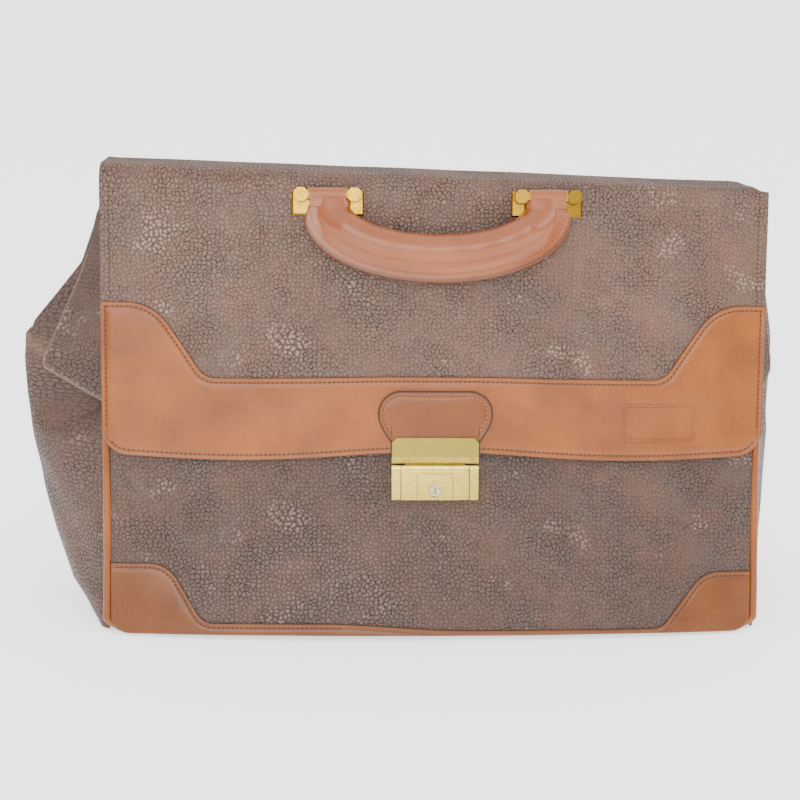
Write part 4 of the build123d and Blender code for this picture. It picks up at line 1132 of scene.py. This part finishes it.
def wing(side, front, reach, seed):
    """Spare leather in front of the ear: seam, sharp outer fold, and back in to the frame's arm."""
    hem = [-0.06, -0.04, -0.02, -0.008]
    vs = np.concatenate([hem, np.linspace(0, 0.06, 5)[:-1], np.linspace(0.06, 1, 50)])
    fold = [0.465, 0.485, 0.5, 0.515, 0.535]
    ts = np.concatenate([np.linspace(0, 0.44, 16), fold, np.linspace(0.56, 1, 12)])
    share = reach / FOLD_REACH
    sign = -1 if front else 1
    top, flats, wear_and_highlight = [], [], []
    for v in vs:
        up = max(v, 0.0)
        z_seam, z_fold = 144 + 132 * up, 165 + 111 * up
        out = reach * float(np.interp(z_fold, *zip(*FOLD_LINE))) / FOLD_REACH
        tuck = max(0.0, -v) / 0.06
        for t in ts:
            if t <= 0.5:
                k = t / 0.5
                z = z_seam + (z_fold - z_seam) * k
                depth = half_depth_at(z)
                y = depth - (depth - 30.0 * depth / 44.0) * k
                x = 210.4 + out * k ** 1.08 + 1.6 * math.sin(math.pi * k) * share
            else:
                k = (t - 0.5) / 0.5
                z = z_fold
                depth = half_depth_at(z)
                y0, y1 = 30.0 * depth / 44.0, 10.0 * max(0.0, min(1.0, (z - 212) / 64.0)) + 0.4
                y = y0 + (y1 - y0) * k
                x = 210.4 + out + (-out * 0.72 - 1.6) * k ** 0.8
            wave = noise.noise(Vector((z / 24.0, t * 3.0, seed + 4))) * math.sin(math.pi * min(1.0, 2 * t))
            x += 1.2 * wave * share
            x -= tuck * 7.0 * share * math.sin(math.pi * min(t * 1.2, 1.0)) + tuck * 0.8
            y -= tuck * 7.0
            z += 2.6 * math.sin(tuck * math.pi / 2) - 1.2 * tuck
            top.append((side * x, sign * y, z))
            flats.append((t * 70.0 + 100.0, z))
            # the fold edge and the tucked lower edge are painted paler: partly wear, partly a painted
            # highlight
            wear_and_highlight.append(0.5 * max(math.exp(-((t - 0.5) / 0.011) ** 2), math.exp(-(v / 0.008) ** 2)))
    return np.array(top), np.array(flats), wear_and_highlight, len(vs), len(ts)


# %% [markdown]
# Each side gets its two lower halves and its two wings, each given a thickness and baked in place;
# they are not tied to any body.

# %% Both gussets
WING_SHARE = 0.716
for side, word, reach in ((-1, "left", 60.0), (1, "right", 17.5)):
    for front, which, panel in ((True, "front", "front_side"), (False, "back", "back_side")):
        sign = -1 if front else 1
        flip = (side > 0) == front
        half = gusset_half(side, front, reach, 2.0 + side + (0.5 if front else 0))
        # the sides use the darker copy of the grained leather, with painted shade
        piece = shell(f"gusset_{word}_{which}", *half, 1.5, flip, [GRAIN_SIDE_SHADED])
        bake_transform(piece)
        fold = wing(side, front, reach * WING_SHARE, 7.0 + side)
        piece = shell(f"gusset_wing_{word}_{which}", *fold, 1.5, flip, [GRAIN_SIDE_SHADED])
        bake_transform(piece)
    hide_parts(f"gusset_{word}")
print("gussets made")

# %% [markdown]
# ## The handle
# The handle is a rope core wrapped in tan leather. The two edges of the wrap meet on the outside of
# the curve and are stitched into a lip about 10 mm wide. In section it is a round roll with a flat
# tail. Near the ends the roll is pressed flat, so that it can turn into the loops round the pins.
# The section is drawn at each station along the arch and the stations are joined.

# %% Handle shape
ROLL_RADIUS, ROLL_GAP, ROLL_REACH = 10.5, 1.3, 38.5
BRACKET_T, PIN_HEIGHT = 1.5, 5.6
PIVOT_UP, PIVOT_OUT = 165.0, LEATHER + BRACKET_T + PIN_HEIGHT
ARCH_HALF, ARCH_START, HANDLE_DROP = 66.0, 8.0, 27.0
SEWN_AT, LIP = 14.6, 2.0
TILT = math.asin((ROLL_RADIUS + ROLL_GAP - BRACKET_T - PIN_HEIGHT) / ROLL_REACH)
PIVOT = FLAP_FOOT + FLAP_UP * PIVOT_UP + FLAP_OUT * PIVOT_OUT
DOWN = -(FLAP_UP * math.cos(TILT)) + FLAP_OUT * math.sin(TILT)
PROUD = FLAP_OUT * math.cos(TILT) + FLAP_UP * math.sin(TILT)
low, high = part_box("handle_pin_left")
middle = ((low.y + high.y) / 2, (low.z + high.z) / 2)
print("pin solid y,z:", [round(v, 5) for v in middle], "want", PIVOT * MM)


def on_handle(x, drop, out):
    """A point of the handle's own plane: x across, drop below the pins, out towards the front."""
    yz = PIVOT[None, :] + np.outer(drop, DOWN) + np.outer(out, PROUD)
    return np.stack([np.asarray(x, float), yz[:, 0], yz[:, 1]], axis=-1)


def arch(share):
    """The middle of the roll in (x, drop), from one end (0) to the other (1)."""
    a = math.pi * (1 + share)
    return np.array([ARCH_HALF * math.cos(a), ARCH_START - HANDLE_DROP * math.sin(a)])


def outward(p):
    """The direction out of the curve: square to the half ellipse, and sideways above its ends."""
    if p[1] <= ARCH_START:
        return np.array([math.copysign(1, p[0]), 0.0])
    o = np.array([p[0] / ARCH_HALF ** 2, (p[1] - ARCH_START) / HANDLE_DROP ** 2])
    return o / np.linalg.norm(o)


def handle_section(radius, flat, tail, lip):
    """Outline in (outward, proud) coordinates: a roll with a tail towards the outside."""
    ring = []
    for a in np.linspace(math.radians(26), math.radians(334), 30):
        ring.append((radius * math.cos(a), radius * flat * math.sin(a)))
    base = radius * math.cos(math.radians(26))
    y0 = -radius * flat * math.sin(math.radians(26))
    back = []
    for k in (0.18, 0.4, 0.62, 0.8, 0.92):
        sink = y0 + (-lip - y0) * (1 - (1 - k) ** 2.6)
        back.append((base + (tail - base) * k, sink))
    back.append((tail - 0.5, -lip * 0.9))
    back.append((tail, -lip * 0.3))
    front = [(a, -b) for a, b in reversed(back)]
    return ring + back + front


verts, faces, flats, rims = [], [], [], []
ends = np.linspace(0.0, 0.028, 6)[1:]
shares = np.concatenate([-ends[::-1], np.linspace(0, 1, 111), 1.0 + ends])
run = 0.0
previous = None
stations = []
for share in shares:
    inside = min(max(share, 0.0), 1.0)
    p = arch(inside)
    past = max(0.0, -share, share - 1.0)
    near = min(inside, 1 - inside)
    flat = 0.46 + 0.54 * float(smooth(0.0, 0.17, near))
    radius = ROLL_RADIUS * (1 + 0.012 * math.sin(share * 61.0))
    tail = 20.3 - 4.5 * (1 - float(smooth(0.0, 0.05, near)))
    if past > 0:
        p = p - np.array([0.0, 1.0]) * past * 230.0
        radius = ROLL_RADIUS + past * 20.0
        tail = 15.8 - past * 90.0
        flat = 0.46 - past * 4.0
    stations.append((p, radius, flat, tail))
for p, radius, flat, tail in stations:
    o = outward(p)
    if previous is not None:
        run += float(np.linalg.norm(p - previous))
    previous = p
    ring = handle_section(radius, flat, max(tail, radius + 0.6), LIP)
    xs, drops = [p[0] + o[0] * a for a, _ in ring], [p[1] + o[1] * a for a, _ in ring]
    place = on_handle(xs, drops, [b for _, b in ring])
    turned = 0.0
    for j, point in enumerate(place):
        verts.append(point)
        flats.append((run, turned))
        rims.append(max(0.0, SEAM_MM + SEWN_AT - ring[j][0]) if radius < 11 else 8.0)
        turned += math.dist(ring[j], ring[(j + 1) % len(ring)])
count = len(ring)
for i in range(len(stations) - 1):
    for j in range(count):
        k = (j + 1) % count
        faces.append((i * count + j, (i + 1) * count + j, (i + 1) * count + k, i * count + k))
faces.append(tuple(range(count)))
faces.append(tuple((len(stations) - 1) * count + j for j in range(count))[::-1])
grip = make_object("handle_leather_roll", verts, faces, [TAN_ROLL], None, flats, rims)
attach(grip, "handle")
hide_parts("handle_cover", "handle_core")

lines = []
for sign in (1, -1):
    pts, outs = [], []
    for share in np.linspace(0.01, 0.99, 200):
        p = arch(share)
        q = p + outward(p) * SEWN_AT
        pts.append(on_handle([q[0]], [q[1]], [sign * (LIP + 0.05)])[0])
        outs.append((0.0, PROUD[0] * sign, PROUD[1] * sign))
    lines.append((pts, outs))
grip_stitches = stitch_lines("handle_stitches", lines, PALE_THREAD, pitch=3.0)
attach(grip_stitches, "handle")
print("handle:", len(grip.data.polygons), "faces")

# %% [markdown]
# ## Hard parts
# Everything that is cast, stamped or bent from strip keeps its solid. Each node gets the finish
# that its real counterpart has. A small rounding of the normals at sharp corners is not enough for
# metal, because a worn edge catches the light, so each brass piece but the key cylinder and the
# index pins also gets a narrow bevel.

# %% Finishes of the solids
FINISH = {
    BRASS: ["lock_slide", "lock_case"],
    BRASS_BRIGHT: ["key_cylinder", "index_pins"],
    BRASS_PLATE: ["hasp"],
    BRASS_DULL: ["hasp_rivets"],
    BRASS_BRACKET: ["bracket_left", "bracket_right", "bracket_rivets", "pivot_washers", "handle_pin_left",
                    "handle_pin_right"],
    STEEL: ["front_frame", "back_frame", "hinge_rivets_outer", "hinge_rivets_inner"],
    DARK_STEEL: ["lock_backing", "lock_rivets", "hasp_backing", "bracket_backing_left",
                 "bracket_backing_right", "lock_springs", "lock_cam"],
    GRAIN_SOLID: ["front_welt", "back_welt"],
    TAN_SOLID: ["handle_loop_left", "handle_loop_right"],
    BOARD: ["front_board", "back_board", "base_board"],
    LINING: ["front_lining", "back_lining", "base_lining"],
}
for material, names in FINISH.items():
    for name in names:
        mesh = nodes[name].data
        mesh.materials.clear()
        mesh.materials.append(material)
print("finished", sum(len(names) for names in FINISH.values()), "solids")

# %% [markdown]
# The coil springs behind the lock's slide stand on the front panel and shorten when the slide goes
# down. A copy of their solid stands for them, baked in place and tied to no body.

# %% Copy of the lock springs
springs = bpy.data.objects.new("lock_coil_springs", nodes["lock_springs"].data.copy())
bpy.context.scene.collection.objects.link(springs)
springs.matrix_world = nodes["lock_springs"].matrix_world
low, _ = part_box("lock_springs")
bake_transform(springs)
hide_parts("lock_springs")
print("springs:", len(springs.data.polygons), "faces")

# %% Worn edges of the brass
for names, width in ((FINISH[BRASS] + FINISH[BRASS_PLATE], 0.32), (FINISH[BRASS_BRACKET], 0.3),
                     (FINISH[BRASS_DULL], 0.12)):
    for name in names:
        bevel = nodes[name].modifiers.new("worn_edges", "BEVEL")
        bevel.width, bevel.segments, bevel.limit_method = width * MM, 2, "ANGLE"
        bevel.angle_limit = math.radians(35)
        bevel.harden_normals = True
print("bevelled the brass")

# %% [markdown]
# ## Stage, light and camera
# The bag stands on a plain pale floor that fades into a pale surround. A large soft light above and
# in front does most of the work, a second one fills from the right, and the surround lifts the
# shadows. The camera looks slightly down and a little from the left of straight ahead.

# %% Floor and lights
WHITE = (1.0, 1.0, 1.0, 1.0)
bpy.ops.mesh.primitive_plane_add(size=90.0, location=(0, 0, -0.0004))
floor = bpy.context.object
floor.name = "floor"
material, tree, surface = new_material("lit_white_acrylic_floor")
haze = cloudy(tree, add(tree, "TexCoord").outputs["Object"], 0.8, 2.0)
pale = mixed(tree, haze, linear("#f8f8f7"), linear("#fcfcfb"))
fill(tree, surface, {"Base Color": pale, "Roughness": 0.8, "Emission Color": WHITE, "Emission Strength": 1.2})
floor.data.materials.append(material)

world = bpy.data.worlds.new("soft_dome")
bpy.context.scene.world = world
world.use_nodes = True
sky = world.node_tree
height = add(sky, "SeparateXYZ", {0: add(sky, "TexCoord").outputs["Generated"]}).outputs["Z"]
glow = ramp(sky, height, 0.0, 0.75, 0.3, 2.1, SOFT)
fill(sky, sky.nodes["Background"], {"Color": WHITE, "Strength": glow})


def soft_light(name, place, aim, size, power):
    data = bpy.data.lights.new(name, "AREA")
    data.shape, data.size, data.energy = "SQUARE", size, power
    light = bpy.data.objects.new(name, data)
    bpy.context.scene.collection.objects.link(light)
    light.location = place
    light.rotation_mode = "QUATERNION"
    light.rotation_quaternion = (Vector(aim) - Vector(place)).to_track_quat("-Z", "Y")
    return light


soft_light("softbox_behind_camera", (-0.35, -2.2, 1.07), (0, 0, 0.12), 1.35, 32)
soft_light("softbox_right", (1.7, -1.0, 1.2), (0, 0, 0.15), 0.8, 10)

# %% Camera
YAW, PITCH, ROLL, DISTANCE, LENS_MM = 3.0, 16.3, 1.1, 1.0, 66.555
yaw, pitch = math.radians(YAW), math.radians(PITCH)
forward = Vector((math.sin(yaw) * math.cos(pitch), math.cos(yaw) * math.cos(pitch), -math.sin(pitch)))
camera_data = bpy.data.cameras.new("camera")
camera = bpy.data.objects.new("camera", camera_data)
bpy.context.scene.collection.objects.link(camera)
camera.location = Vector((0, 0, 0.145)) - forward * DISTANCE
camera.rotation_mode = "QUATERNION"
camera.rotation_quaternion = forward.to_track_quat("-Z", "Y") @ Quaternion((0, 0, 1), math.radians(ROLL))
camera_data.sensor_width = 36.0
camera_data.lens = LENS_MM
camera_data.shift_x = -0.040
camera_data.shift_y = -0.016
bpy.context.scene.camera = camera
print("camera at", [round(v, 3) for v in camera.location])
